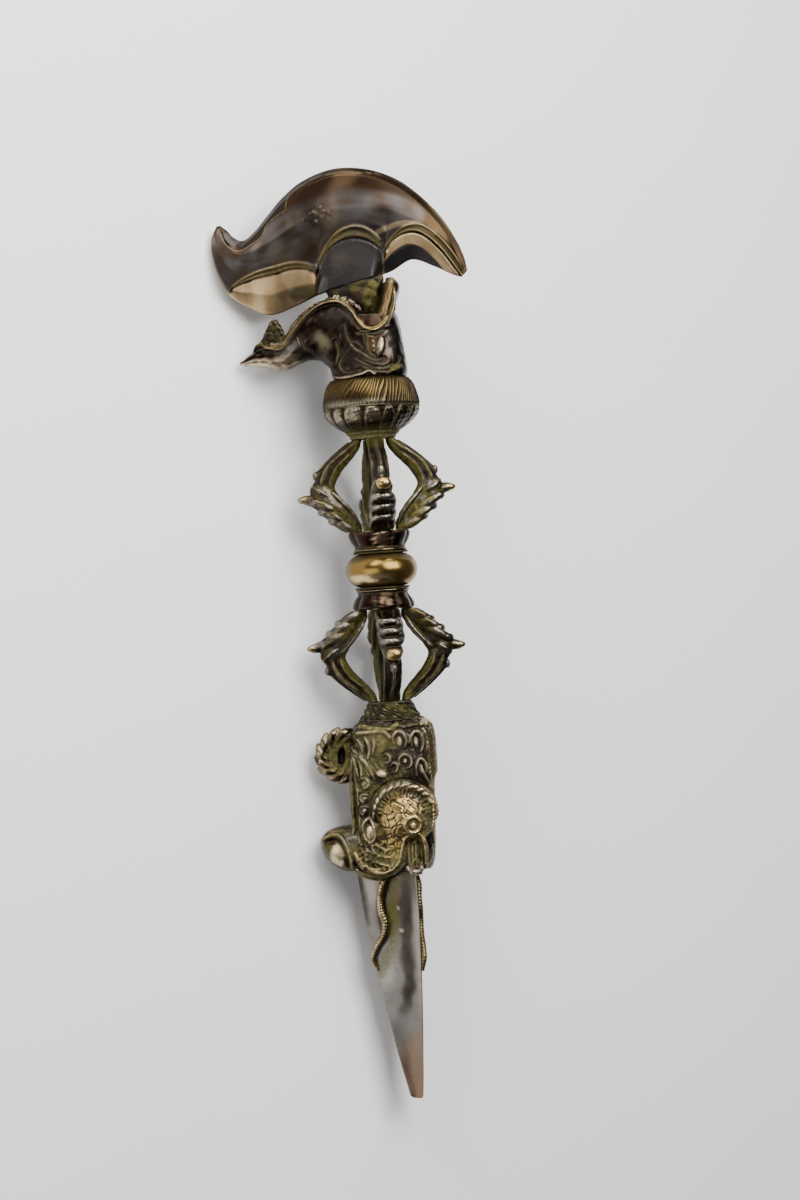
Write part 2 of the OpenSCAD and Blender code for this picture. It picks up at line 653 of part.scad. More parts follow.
// One lobe of the line, as a share of the way from the rim to the edge, fuller on the horn's side
function lobe(u, i, a, b, rise) =
    let (t = (u - cusps[i]) / (cusps[i + 1] - cusps[i]))
    a + (b - a) * t - rise * pow(max(sin(180 * pow(t, 0.8)), 0), 0.6);
function scallop(u) =
    u < cusps[0] ? 0.95
    : u < cusps[1] ? lobe(u, 0, 0.95, 0.85, 0.25)
    : u < cusps[2] ? lobe(u, 1, 0.85, 0.82, 0.24)
    : lobe(u, 2, 0.82, 0.9, 0.31);
// Where the crescent is drawn between two cusps
function stops(i, count) = [for (k = [0:count - 1]) cusps[i] + (cusps[i + 1] - cusps[i]) * k / count];

function placed(p) = [p[0] * crescent_span / 68.8, crescent_low + (p[1] - 70.6) * crescent_rise / 38.4, 0];

module crescent_blade() {
    drawn = [each [0:0.5:3.5], each stops(0, 12), each stops(1, 9), each stops(2, 13), cusps[3]];
    rings = [for (u = drawn)
        let (rim = placed(along(crescent_rim, u)), edge = placed(along(crescent_edge, u)),
             half = crescent_thickness / 2 * max(0.13, pow(sin(180 * u / 14), 0.85)), line = scallop(u),
             bevel = min(0.3, bevel_width / norm(edge - rim)), step = min(scallop_depth, 0.35 * half),
             front = [[0, 0.12 * half], [bevel, 0.62 * half], [0.35, 0.93 * half], [0.6 * line + 0.1, half],
                 [line - 0.015, 0.94 * half], [line + 0.015, 0.94 * half - step],
                 [(line + 1) / 2, 0.8 * half - step], [1, 0.2 * half]])
        [each [for (v = front) rim + (edge - rim) * v[0] + [0, 0, v[1]]],
         each [for (k = [7:-1:0]) rim + (edge - rim) * front[k][0] - [0, 0, front[k][1]]]]];
    loft(rings);
}

module crescent() {
    color(steel) {
        crescent_blade();
        crescent_neck(0);
        crescent_tang(0);
    }
}

laid() blade();
laid() serpent(1);  // serpent_front
laid() serpent(2);  // serpent_rear
laid() serpent(0);  // serpent_back
laid() guard_head();
laid() guard_crest();
laid() guard_rivet();
laid() core_rod();
laid() lower_crown();
laid() lower_prong(0);  // lower_prong_right
laid() lower_prong(1);  // lower_prong_rear
laid() lower_prong(2);  // lower_prong_left
laid() lower_prong(3);  // lower_prong_front
laid() mirror([0, 1, 0]) upper_hub();  // lower_hub
laid() mirror([0, 1, 0]) upper_washer();  // lower_washer
laid() centre_ring();
laid() upper_washer();
laid() upper_hub();
laid() upper_prong(0);  // upper_prong_right
laid() upper_prong(1);  // upper_prong_rear
laid() upper_prong(2);  // upper_prong_left
laid() upper_prong(3);  // upper_prong_front
laid() upper_crown();
laid() lotus_cup();
laid() mane_ring();
laid() finial_head();
laid() crescent();
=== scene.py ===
import math

import bpy
import numpy as np
from mathutils import Matrix, Vector


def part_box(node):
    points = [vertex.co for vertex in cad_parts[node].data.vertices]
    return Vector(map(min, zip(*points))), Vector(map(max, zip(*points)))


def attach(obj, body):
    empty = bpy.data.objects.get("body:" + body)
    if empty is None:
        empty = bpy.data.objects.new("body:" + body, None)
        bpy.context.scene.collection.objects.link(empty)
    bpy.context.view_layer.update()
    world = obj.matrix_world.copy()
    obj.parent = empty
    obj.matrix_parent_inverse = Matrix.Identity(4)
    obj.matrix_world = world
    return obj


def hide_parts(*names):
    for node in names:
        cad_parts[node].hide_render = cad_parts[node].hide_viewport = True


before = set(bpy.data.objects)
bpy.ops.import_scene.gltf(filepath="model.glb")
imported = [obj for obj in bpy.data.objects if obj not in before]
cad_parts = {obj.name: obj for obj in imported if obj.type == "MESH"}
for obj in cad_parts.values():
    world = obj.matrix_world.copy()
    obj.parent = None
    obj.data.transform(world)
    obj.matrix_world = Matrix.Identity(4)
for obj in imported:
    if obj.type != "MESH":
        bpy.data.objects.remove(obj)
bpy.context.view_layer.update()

# The drawing frame: millimetres, origin in the middle of the brass ring, Y along the handle
# towards the crescent, X to the back of the heads, Z to the side that the camera sees.
MM = 0.001
ROLL = math.radians(-36.03)
PITCH = math.radians(3.39)
ring_low, ring_high = (Vector(corner_shade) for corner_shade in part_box("centre_ring"))
LAY = (Matrix.Translation((ring_low + ring_high) / 2) @ Matrix.Rotation(PITCH, 4, "X")
       @ Matrix.Rotation(ROLL, 4, "Y") @ Matrix.Scale(MM, 4))
LAY_ROWS = np.array(LAY)

# Stations along the handle, as in the solids
HUB_SEAT = 5.1
HUB_FACE = 10.6
CAGE = 24.8
CROWN_FACE = HUB_FACE + CAGE
GUARD_TOP = -40.4
GUARD_LIP = -80.8
LOTUS_SEAT = 37.0
MANE_SEAT = 43.9
HEAD_SEAT = 51.6
BORE = 3.4
FIT = 0.05
CAGE_TURN = math.radians(6)
TAU = 2 * math.pi

WAVES = 9
WAVE_SUM = 3.2  # the sum of the waves seldom passes this
GRID = 64
# Colour layers: wear with painted highlights, grime with painted shade in hollows, grooves and on shaded
# sides, green patina, steel grey with painted sheen and glints, gold tones
LAYERS = ("worn", "deep", "green", "steel", "gold")


def smooth(values, low, high):
    """0 up to low, 1 from high on, with an eased step between them."""
    t = np.clip((values - low) / (high - low), 0, 1)
    return t * t * (3 - 2 * t)


def stripes(values, pitch):
    """0 at each multiple of the pitch, 1 halfway between them."""
    return np.abs(np.sin(values * math.pi / pitch))


def spline(points, count, closed=False):
    """Evenly numbered points on a smooth curve through the given points."""
    p = np.array(points, float)
    n = len(p)
    u = np.linspace(0, n if closed else n - 1, count, endpoint=not closed)
    i = np.clip(np.floor(u).astype(int), 0, n - 1 if closed else n - 2)
    f = (u - i)[:, None]
    if closed:
        a, b, c, d = p[(i - 1) % n], p[i % n], p[(i + 1) % n], p[(i + 2) % n]
    else:
        a, b, c, d = p[np.maximum(i - 1, 0)], p[i], p[i + 1], p[np.minimum(i + 2, n - 1)]
    return b + f * (c - a) / 2 + f**2 * (2 * a - 5 * b + 4 * c - d) / 2 + f**3 * (3 * b - a - 3 * c + d) / 2


def noise(points, size, seed):
    """Cheap smooth noise from -1 to 1 with features of about the given size."""
    rng = np.random.default_rng(seed)
    total = np.zeros(len(points))
    for _ in range(WAVES):
        direction = rng.normal(size=3)
        direction /= np.linalg.norm(direction)
        length = size * rng.uniform(0.7, 1.6)
        total += np.sin(points @ direction * TAU / length + rng.uniform(0, TAU))
    return total / WAVE_SUM


def oval(a, b, sides, power=1.0):
    t = np.arange(sides) * TAU / sides
    c, s = np.cos(t), np.sin(t)
    return np.stack([a * np.sign(c) * np.abs(c)**power, b * np.sign(s) * np.abs(s)**power], 1)


def arc(centre, radius, angles, tall=1.0):
    return np.stack([centre[0] + radius * np.cos(angles), centre[1] + tall * radius * np.sin(angles)], 1)


def skin(rings):
    """Points and outward faces of a closed solid through rings of points."""
    rings = np.asarray(rings, float)
    n, m, _ = rings.shape
    i, j = (a.ravel() for a in np.meshgrid(np.arange(n - 1), np.arange(m), indexing="ij"))
    k = (j + 1) % m
    faces = np.stack([i * m + j, (i + 1) * m + j, (i + 1) * m + k, i * m + k], 1).tolist()
    points = np.vstack([rings.reshape(-1, 3), rings[0].mean(0), rings[-1].mean(0)])
    edge, last = np.arange(m), (n - 1) * m
    after = (edge + 1) % m
    for hub, a, b in ((n * m, edge, after), (n * m + 1, last + after, last + edge)):
        faces += np.stack([np.full(m, hub), a, b], 1).tolist()
    a, b, c = points[np.array([f[:3] for f in faces]).T]
    volume = np.einsum("ij,ij->i", a, np.cross(b, c)).sum()
    return points, faces if volume >= 0 else reversed_faces(faces)


def reversed_faces(faces):
    return [f[::-1] for f in faces]


def lofted(sections, count, sides, power, side_on=False, base=(0, 0), sense=1, thick=1.0):
    """A closed form through ovals of (station, low end, high end, half thickness).

    Stations run along Y, or along X where side_on is true, from base[1] in the given sense.
    """
    rings = []
    for station, low, high, half in spline(sections, count):
        ring = oval((high - low) / 2, thick * half, sides, power)
        level = np.full(sides, base[1] + sense * station)
        reach = base[0] + (low + high) / 2 + ring[:, 0]
        rings.append(np.stack([level, reach, ring[:, 1]] if side_on else [reach, level, ring[:, 1]], 1))
    return skin(rings)


def tube(path, radii, sides, steps, flat=1.0):
    """A tube along points in space, flattened across by the given share."""
    line = spline(path, steps)
    radius = spline([[r] for r in radii], steps)
    ahead = np.roll(line, -1, 0) - np.roll(line, 1, 0)
    ahead[0], ahead[-1] = line[1] - line[0], line[-1] - line[-2]
    ahead /= np.linalg.norm(ahead, axis=1)[:, None]
    side = np.cross(ahead, (0.0, 0.0, 1.0))
    side /= np.linalg.norm(side, axis=1)[:, None] + 1e-9
    up = np.cross(side, ahead)
    ring = oval(1, 1, sides)
    return skin(line[:, None] + radius[:, None] * (ring[:, :1] * side[:, None]
                                                   + flat * ring[:, 1:] * up[:, None]))


def ball(centre, radii, sides):
    t = np.linspace(0.02, math.pi - 0.02, sides // 2 + 1)
    rings = [[[math.sin(a) * math.cos(b), math.sin(a) * math.sin(b), math.cos(a)]
              for b in np.arange(sides) * TAU / sides] for a in t]
    return skin(np.array(rings) * np.array(radii) + np.array(centre))


def turned(profile, steps, sides, bulge=None):
    """A turned piece along the handle from (station, radius) pairs; bulge adds to the radius."""
    line = spline(profile, steps)
    angle = np.arange(sides) * TAU / sides
    station = np.repeat(line[:, :1], sides, 1)
    radius = np.repeat(line[:, 1:], sides, 1)
    if bulge:
        radius = radius + bulge(station, np.tile(angle, (steps, 1)))
    return skin(np.stack([radius * np.cos(angle), station, radius * np.sin(angle)], 2))


def slab(low, high, half, stations):
    """A straight bar from low to high in X and half to each side in Z."""
    corners = ((low, -half), (high, -half), (high, half), (low, half))
    return skin([[(x, y, z) for x, z in corners] for y in stations])


def crosswise(part, centre):
    """A turned piece with its axis laid along Z through the centre."""
    return part[0][:, [0, 2, 1]] + [*centre, 0], reversed_faces(part[1])


def mirrored(part):
    return part[0] * np.array([1, 1, -1]), reversed_faces(part[1])


def joined(parts):
    points, faces, base = [], [], 0
    for p, f in parts:
        points.append(p)
        faces += [[v + base for v in face] for face in f]
        base += len(p)
    return np.vstack(points), faces


def linked(name, data):
    obj = bpy.data.objects.new(name, data)
    bpy.context.scene.collection.objects.link(obj)
    return obj


def raw_mesh(points, faces):
    mesh = bpy.data.meshes.new("raw")
    mesh.from_pydata(np.asarray(points).tolist(), [], faces)
    return mesh


def arrays(mesh):
    """Points, normals and faces of a mesh."""
    tables = []
    for source, key in ((mesh.vertices, "co"), (mesh.vertex_normals, "vector")):
        values = np.empty(len(mesh.vertices) * 3, np.float32)
        source.foreach_get(key, values)
        tables.append(values.reshape(-1, 3).astype(float))
    return *tables, [list(p.vertices) for p in mesh.polygons]


def fused(parts, voxel, rounds=2):
    """One smooth skin over closed forms that overlap, with its normals."""
    mesh = raw_mesh(*joined(parts))
    obj = linked("raw", mesh)
    remesh = obj.modifiers.new("remesh", "REMESH")
    remesh.mode = "VOXEL"
    remesh.voxel_size = voxel
    ease = obj.modifiers.new("ease", "SMOOTH")
    ease.factor = 0.5
    ease.iterations = rounds
    result = arrays(obj.evaluated_get(bpy.context.evaluated_depsgraph_get()).to_mesh())
    bpy.data.objects.remove(obj)
    bpy.data.meshes.remove(mesh)
    return result


def with_normals(part):
    mesh = raw_mesh(*part)
    result = arrays(mesh)
    bpy.data.meshes.remove(mesh)
    return result


class Relief:
    """Carving on one face of a piece, drawn in its x and y."""

    def __init__(self, points, weight):
        self.flat = points[:, :2]
        self.weight = weight
        self.up, self.down = np.zeros((2, len(points)))
        self.marks = {name: np.zeros(len(points)) for name in LAYERS}

    def mark(self, **layers):
        """Raises each named layer to the given values where they are above it."""
        for name, values in layers.items():
            self.marks[name] = np.maximum(self.marks[name], values)

    def apply(self, shape, height, marks):
        self.up = np.maximum(self.up, height * shape)
        self.down = np.minimum(self.down, height * shape)
        self.mark(**{name: share * smooth(shape, 0, 1) for name, share in marks.items()})

    def carved(self, points, normals, rough=0):
        return points + normals * (self.up + self.down + rough)[:, None]

    def spot(self, centre, size, edge):
        """1 in an oval, falling to 0 at its rim over the given share of its size."""
        return smooth(1 - np.hypot(*((self.flat - centre) / size).T), 0, edge)

    def line(self, path, width, height, closed=False, taper=False, twist=0.0, **marks):
        """A cord (height above 0) or a groove (below 0) along a path; width is its half width."""
        curve = spline(path, 10 * len(path) + 1, closed)
        if closed:
            curve = np.vstack([curve, curve[:1]])
        low, high = curve.min(0) - width, curve.max(0) + width
        near = np.where(((self.flat > low) & (self.flat < high)).all(1))[0]
        if not len(near):
            return
        p = self.flat[near]
        best = np.full(len(near), 1e9)
        along = np.zeros(len(near))
        total = 0.0
        for a, b in zip(curve[:-1], curve[1:]):
            d = b - a
            size = max(np.hypot(*d), 1e-9)
            t = np.clip((p - a) @ d / size**2, 0, 1)
            gap = np.hypot(*(p - a - t[:, None] * d).T)
            closer = gap < best
            best[closer] = gap[closer]
            along[closer] = total + t[closer] * size
            total += size
        half = np.full(len(near), float(width))
        if taper:
            half *= 0.35 + 0.65 * np.sin(np.clip(along / total, 0, 1) * math.pi)
        shape = np.clip(1 - (best / half)**2, 0, 1)
        if twist:
            shape *= 0.62 + 0.38 * np.abs(np.sin(along * math.pi / twist + best * 1.2))
        full = np.zeros(len(self.flat))
        full[near] = shape
        self.apply(full * self.weight, height, marks)

    def strokes(self, table, margin, depth, groove_shade, height, share=1.0, **marks):
        """Tapered cords in grooves darkened with painted shade, from rows of half width and path."""
        for wide, path in table:
            self.line(path, wide + margin, depth, deep=groove_shade)
            self.line(path, share * wide, height, taper=True, **marks)

    def bump(self, centre, radii, height, turn=0.0, **marks):
        c, s = math.cos(math.radians(turn)), math.sin(math.radians(turn))
        d = self.flat - np.array(centre)
        u = (d[:, 0] * c + d[:, 1] * s) / radii[0]
        v = (-d[:, 0] * s + d[:, 1] * c) / radii[1]
        self.apply(np.sqrt(np.clip(1 - u**2 - v**2, 0, 1)) * self.weight, height, marks)

    def ring(self, centre, radius, width, height, tall=1.0, **marks):
        path = arc(centre, radius, np.linspace(0, TAU, 13)[:-1], tall)
        self.line(path, width, height, closed=True, **marks)

    def curl(self, centre, radius, start, sweep, **marks):
        """A lock of hair: a bright cord that winds round a low boss."""
        t = np.linspace(0, 1, 12)
        boss, tall = 0.62 * radius, 1.15
        self.ring(centre, 1.25 * radius, 0.45, -0.5, tall, deep=0.8)
        self.bump(centre, (boss, boss * tall), 0.75, worn=0.15)
        self.line(arc(centre, radius * (1 - 0.28 * t), np.radians(start + sweep * t), tall), 0.55, 1.0,
                  taper=True, **marks)


def cells(u, v, size, seed):
    """Irregular cells: 0 on their borders, rising towards the middle of each."""
    table = np.random.default_rng(seed).uniform(0.12, 0.88, (GRID, GRID, 2))
    u, v = u / size, v / size
    i, j = np.floor(u).astype(int), np.floor(v).astype(int)
    near = np.full((2, len(u)), 9.0)
    for di in (-1, 0, 1):
        for dj in (-1, 0, 1):
            spot = table[(i + di) % GRID, (j + dj) % GRID]
            gap = np.hypot(i + di + spot[:, 0] - u, j + dj + spot[:, 1] - v)
            near[1] = np.minimum(near[1], np.maximum(near[0], gap))
            near[0] = np.minimum(near[0], gap)
    return near[1] - near[0]


def inside(flat, outline):
    """1 where a flat point lies inside a closed outline."""
    x, y = flat.T
    within = np.zeros(len(flat), bool)
    for (ax, ay), (bx, by) in zip(outline, np.roll(outline, -1, 0)):
        if ay != by:
            within ^= ((ay > y) != (by > y)) & (x < (bx - ax) * (y - ay) / (by - ay) + ax)
    return within.astype(float)


def bends(mesh, points, normals):
    """How hollow (above 0) or sharp (below 0) the surface is at each vertex."""
    edges = np.empty(len(mesh.edges) * 2, np.int32)
    mesh.edges.foreach_get("vertices", edges)
    a, b = edges.reshape(-1, 2).T
    count = len(points)
    degree = np.maximum(np.bincount(a, minlength=count) + np.bincount(b, minlength=count), 1)
    d = points[b] - points[a]
    size = (d * d).sum(1) + 1e-9
    lift = np.bincount(a, (d * normals[a]).sum(1) / size, count)
    lift -= np.bincount(b, (d * normals[b]).sum(1) / size, count)
    values = np.clip(2 * lift / degree, -3, 3)
    # Averaged with the neighbours, so that single edges don't speckle
    for _ in range(3):
        total = np.bincount(a, values[b], count) + np.bincount(b, values[a], count)
        values = 0.4 * values + 0.6 * total / degree
    return values


def piece(node, slot, points, faces, marks, crisp=1.0):
    """One finished piece of the object, in the frame, in place of its solid."""
    mesh = raw_mesh(points, faces)
    bend = bends(mesh, points, arrays(mesh)[1])
    layers = {name: np.zeros(len(points)) + marks.get(name, 0) for name in LAYERS}
    # Wear on sharp edges; hollows get grime with painted shade, and green patina
    layers["worn"] += 0.4 * crisp * smooth(-bend, 0.45, 1.6)
    layers["deep"] += crisp * smooth(bend, 0.05, 0.9)
    layers["green"] += 0.4 * crisp * smooth(bend, 0.15, 1.2)
    placed = points @ LAY_ROWS[:3, :3].T + LAY_ROWS[:3, 3]
    placed[:, 2] = np.maximum(placed[:, 2], 0)  # flat where it rests on the floor
    mesh.vertices.foreach_set("co", placed.ravel())
    mesh.polygons.foreach_set("use_smooth", [True] * len(mesh.polygons))
    for name, values in layers.items():
        layer = mesh.attributes.new(name, "FLOAT", "POINT")
        layer.data.foreach_set("value", np.clip(values, 0, 1).astype(np.float32))
    mesh.name = "mesh_" + node
    mesh.materials.append(MATERIALS[slot])
    mesh.update()
    obj = linked("visual_" + node, mesh)
    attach(obj, "root")
    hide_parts(node)


class Shader:
    """A small builder for one material's nodes."""

    def __init__(self, name):
        self.material = bpy.data.materials.new(name)
        self.material.use_nodes = True
        self.tree = self.material.node_tree
        self.bsdf = self.tree.nodes["Principled BSDF"]
        self.coordinates = self.tree.nodes.new("ShaderNodeTexCoord").outputs["Object"]

    def feed(self, socket, value):
        if isinstance(value, (int, float)):
            socket.default_value = value
        elif isinstance(value, tuple):
            socket.default_value = value + (1.0,)
        else:
            self.tree.links.new(value, socket)

    def set(self, name, value):
        self.feed(self.bsdf.inputs[name], value)

    def noise(self, size, detail, shift=0.0, stretch=(1, 1, 1)):
        """Noise with features of the given size in millimetres."""
        mapping = self.tree.nodes.new("ShaderNodeMapping")
        mapping.inputs["Scale"].default_value = stretch
        mapping.inputs["Location"].default_value = (shift, 0.37 * shift, 0)
        self.tree.links.new(self.coordinates, mapping.inputs["Vector"])
        node = self.tree.nodes.new("ShaderNodeTexNoise")
        node.inputs["Scale"].default_value = 1 / (size * MM)
        node.inputs["Detail"].default_value = detail
        self.tree.links.new(mapping.outputs["Vector"], node.inputs["Vector"])
        return node.outputs["Fac"]

    def layer(self, name):
        node = self.tree.nodes.new("ShaderNodeAttribute")
        node.attribute_name = name
        return node.outputs["Fac"]

    def ramp(self, value, low, high, start=0.0, end=1.0):
        node = self.tree.nodes.new("ShaderNodeMapRange")
        node.interpolation_type = "SMOOTHSTEP"
        for socket, number in zip(node.inputs[:5], (value, low, high, start, end)):
            self.feed(socket, number)
        return node.outputs["Result"]

    def math(self, operation, a, b):
        node = self.tree.nodes.new("ShaderNodeMath")
        node.operation = operation
        node.use_clamp = True
        self.feed(node.inputs[0], a)
        self.feed(node.inputs[1], b)
        return node.outputs["Value"]

    def times(self, a, b):
        return self.math("MULTIPLY", a, b)

    def plus(self, a, b):
        return self.math("ADD", a, b)

    def mix(self, share, a, b):
        node = self.tree.nodes.new("ShaderNodeMix")
        node.data_type = "RGBA"
        for name, value in (("Factor", share), ("A", a), ("B", b)):
            self.feed(node.inputs[name], value)
        return node.outputs["Result"]

    def bump(self, height, depth):
        node = self.tree.nodes.new("ShaderNodeBump")
        node.inputs["Strength"].default_value = 1
        node.inputs["Distance"].default_value = depth * MM
        self.feed(node.inputs["Height"], height)
        self.set("Normal", node.outputs["Normal"])


# Near black of grime and of painted shade
GRIME_AND_SHADE = (0.006, 0.0045, 0.0035)
VERDIGRIS = (0.085, 0.076, 0.014)
SILVER = (0.17, 0.152, 0.13)
GOLD = (0.34, 0.225, 0.075)
SPECULAR = 0.12
MATERIALS = {}


def metal(slot, body, tone, worn, patina=VERDIGRIS, steel=SILVER, gold=GOLD, rough=0.3, patches=0.5,
          scratches=0.0, pits=0.12, even=0.4):
    """Old metal: two tones of skin, bright where it is rubbed and where highlights are painted, darkened
    with grime and painted shade and green where it is hollow.
    """
    s = Shader(slot)
    broad = s.noise(16, 3)
    fine = s.noise(2.4, 5, 3.0)
    grain = s.noise(0.7, 4, 7.0)
    rubbed_and_lit = s.times(s.layer("worn"), s.ramp(fine, 0.32, 0.6, even, 1.0))
    shaded_hollow = s.times(s.layer("deep"), s.ramp(fine, 0.3, 0.75, 1.0, 0.75))
    crust = s.times(s.layer("green"), s.ramp(grain, 0.36, 0.6, 0.45, 1.0))
    crust = s.times(crust, s.ramp(broad, 0.32, 0.6, 0.6, 1.0))
    grey = s.times(s.layer("steel"), s.ramp(fine, 0.3, 0.5, 0.8, 1.0))
    warm = s.times(s.layer("gold"), s.ramp(broad, 0.3, 0.6, 0.7, 1.0))
    colour = s.mix(s.ramp(broad, 0.5 - 0.12 * patches, 0.5 + 0.2 * patches), body, tone)
    for share, coat in ((grey, steel), (warm, gold), (shaded_hollow, GRIME_AND_SHADE), (crust, patina), (rubbed_and_lit, worn)):
        colour = s.mix(share, colour, coat)
    s.set("Base Color", colour)
    dull = s.plus(s.times(crust, 0.8), s.times(shaded_hollow, 0.7))
    s.set("Metallic", s.math("SUBTRACT", 1.0, dull))
    finish = s.plus(s.ramp(broad, 0.3, 0.7, rough - 0.02, rough + 0.03), s.times(crust, 0.35))
    s.set("Roughness", s.plus(finish, s.times(shaded_hollow, 0.2)))
    s.set("Specular IOR Level", SPECULAR)
    height = s.noise(1.1, 4, 11.0)
    if scratches:
        lines = s.noise(0.6, 2, 5.0, (0.25, 1.9, 0.25))
        height = s.plus(s.times(height, 1 - scratches), s.times(lines, scratches))
    s.bump(height, pits)
    MATERIALS[slot] = s.material


metal("blade_steel", (0.09, 0.076, 0.062), (0.05, 0.037, 0.028), (0.38, 0.32, 0.24),
      steel=(0.19, 0.182, 0.17), gold=(0.22, 0.14, 0.092), rough=0.28, scratches=0.5, pits=0.03, even=0.8)
metal("serpent_bronze", (0.05, 0.033, 0.015), (0.035, 0.025, 0.011), (0.4, 0.29, 0.16))
metal("guard_bronze", (0.024, 0.016, 0.009), (0.046, 0.032, 0.016), (0.48, 0.38, 0.23),
      patina=(0.1, 0.088, 0.026), gold=(0.27, 0.185, 0.06), rough=0.26)
metal("eye_brass", (0.26, 0.17, 0.07), (0.22, 0.14, 0.055), (0.62, 0.48, 0.27))
metal("rod_iron", (0.012, 0.009, 0.006), (0.02, 0.016, 0.008), (0.08, 0.06, 0.04), rough=0.5)
metal("crown_bronze", (0.01, 0.008, 0.005), (0.017, 0.013, 0.007), (0.2, 0.17, 0.1), rough=0.36, pits=0.25)
metal("prong_bronze", (0.012, 0.006, 0.004), (0.02, 0.013, 0.008), (0.42, 0.33, 0.2), rough=0.28)
metal("hub_bronze", (0.010, 0.005, 0.003), (0.02, 0.011, 0.006), (0.42, 0.29, 0.18), rough=0.28, even=0.7)
metal("ring_brass", (0.15, 0.093, 0.026), (0.22, 0.145, 0.042), (0.6, 0.46, 0.25), rough=0.26, patches=0.3,
      pits=0.03, even=0.8)
metal("lotus_bronze", (0.018, 0.011, 0.006), (0.03, 0.02, 0.011), (0.48, 0.39, 0.27), rough=0.27)
metal("mane_brass", (0.012, 0.0075, 0.003), (0.007, 0.0045, 0.0022), (0.22, 0.16, 0.07),
      gold=(0.095, 0.061, 0.017), pits=0.05)
metal("finial_bronze", (0.011, 0.006, 0.004), (0.02, 0.013, 0.009), (0.46, 0.37, 0.25),
      steel=(0.085, 0.075, 0.062), rough=0.27, pits=0.06)
metal("crescent_bronze", (0.0135, 0.0075, 0.0042), (0.026, 0.0155, 0.0075), (0.46, 0.34, 0.19),
      steel=(0.043, 0.04, 0.04), gold=(0.3, 0.2, 0.1), rough=0.32, patches=0.45, pits=0.006, even=0.85)


def sided(normals):
    """Share of the surface that looks to one of the two flat sides of a head."""
    return smooth(np.abs(normals[:, 2]), 0.12, 0.5)


# Blade

BLADE_LENGTH = 62
BLADE_RADII = (11, 2.3)  # below the guard and at the point
BLADE_LEAN = 2.3
BLADE_HOLLOW = 0.48
BLADE_TANG = (12, 4.6, 18)
EYE = (4.2, GUARD_LIP + 12.5)


def blade_point(f, face, t):
    """A point of the blade, the share f of the way down and t of the way across a face."""
    wide, narrow = BLADE_RADII
    r = wide - (wide - narrow) * np.maximum(f, 0)**1.5
    a = np.radians(120 * face - 60)
    x, z = (part(a) * (1 - t) + part(a + TAU / 3) * t - part(a + TAU / 6) * BLADE_HOLLOW * t * (1 - t)
            for part in (np.cos, np.sin))
    y = GUARD_LIP - FIT - BLADE_LENGTH * f + 0 * t
    return np.stack([BLADE_LEAN * (f - 0.5) + r * x, y, r * z], -1)


def blade():
    f = np.append(np.linspace(0, 0.985, 190), [0.991, 0.995, 0.998, 1.0])
    across = np.linspace(0.025, 0.975, 26)
    face = np.repeat([0, 1, 2], len(across))
    t = np.tile(across, 3)
    rings = blade_point(f[:, None], face[None], t[None])
    shrink = 1 - 0.35 * smooth(f, 0.985, 1.0)**2
    centre = BLADE_LEAN * (f - 0.5)
    rings[..., 0] = centre[:, None] + (rings[..., 0] - centre[:, None]) * shrink[:, None]
    rings[..., 2] *= shrink[:, None]
    body = skin(rings)
    w, d, h = BLADE_TANG
    tang = slab(-w / 2, w / 2, d / 2, np.linspace(GUARD_LIP - 0.3, GUARD_LIP + h, 8))
    points, normals, faces = with_normals(joined([body, tang]))
    count = len(body[0])
    rest = len(points) - f.size * len(t)
    place = np.append(np.repeat(f, len(t)), np.zeros(rest))
    share = np.append(np.tile(t, len(f)), np.full(rest, 0.5))
    wave = noise(points, 9, 5) * 0.05
    wave[count:] = 0
    r = Relief(points, smooth(normals[:, 2], -0.05, 0.3))
    x, y, _ = points.T
    r.line([(-11.6, -83), (-10.9, -88), (-10.4, -95)], 1.7, 0, deep=0.75)
    r.line([(-3.2, -82.5), (-6.1, -88), (-6.5, -92), (-5.7, -97), (-7, -101.4), (-9.2, -105)], 0.8, 0,
           deep=0.9, green=0.3)
    r.line([(-1.8, -84), (-3.0, -90), (-2.8, -96.3), (-3.4, -101), (-5.4, -105), (-7.2, -108.5)], 2.1, 0,
           green=0.95)
    middle = np.interp(-y, (83, 91, 98, 104, 109, 114, 122), (1.2, 1.2, 0.4, 0.4, 0.9, 0.1, -1.8))
    wide = 2.8 + 0.6 * noise(points * [0.4, 1, 0.4], 9, 24)
    streak = (smooth(1 - np.abs(x - middle + 0.3 * noise(points, 5, 25)) / wide, 0, 0.8)
              * smooth(y, -123, -114))
    streak = streak * r.weight * smooth(-y, 80, 86)
    r.mark(deep=0.72 * streak)
    bare = 0.7 * smooth(-90 - y, 0, 16) * smooth(y, -136, -122) * (1 - 0.9 * streak)
    r.mark(steel=np.maximum(bare, 0.4 * smooth(-x, 6, 8)) * r.weight)
    # A painted highlight along the ridge on the right
    painted_highlight = (smooth(1.9 - np.abs(x - 3.6 - 0.006 * (y + 100)), 0, 1.6) * smooth(y, -124, -116)
              * smooth(-84 - y, 0, 10))
    r.mark(steel=painted_highlight, worn=0.3 * painted_highlight)
    cool = smooth(1 - np.hypot((x + 5.6 - 0.2 * (y + 112)) / 4.2, (y + 112) / 13), 0, 0.8)
    r.mark(steel=cool, worn=0.12 * cool)
    r.bump((-1.2, -91), (0.4, 0.7), 0, turn=30, worn=0.9)
    r.bump((-0.8, -97), (0.5, 0.7), 0, worn=0.9)
    edge = np.minimum(share, 1 - share)
    r.mark(worn=smooth(0.05 - edge, -0.02, 0.03) * 0.55 * smooth(place, 0.1, 0.3))
    r.mark(gold=0.8 * smooth(place + 0.02 * (x + 1), 0.68, 0.86), green=0.5 * smooth(0.06 - place, 0, 0.05))
    r.mark(green=0.5 * smooth(normals[:, 0], 0.5, 0.9) * smooth(0.45 - place, 0, 0.2))
    r.marks["worn"] *= 0.75 + 0.25 * noise(points * [1, 0.3, 1], 3, 8)
    points = points + wave[:, None] * np.array([0.3, 0, 1.0])
    piece("blade", "blade_steel", points, faces, r.marks, crisp=0.2)


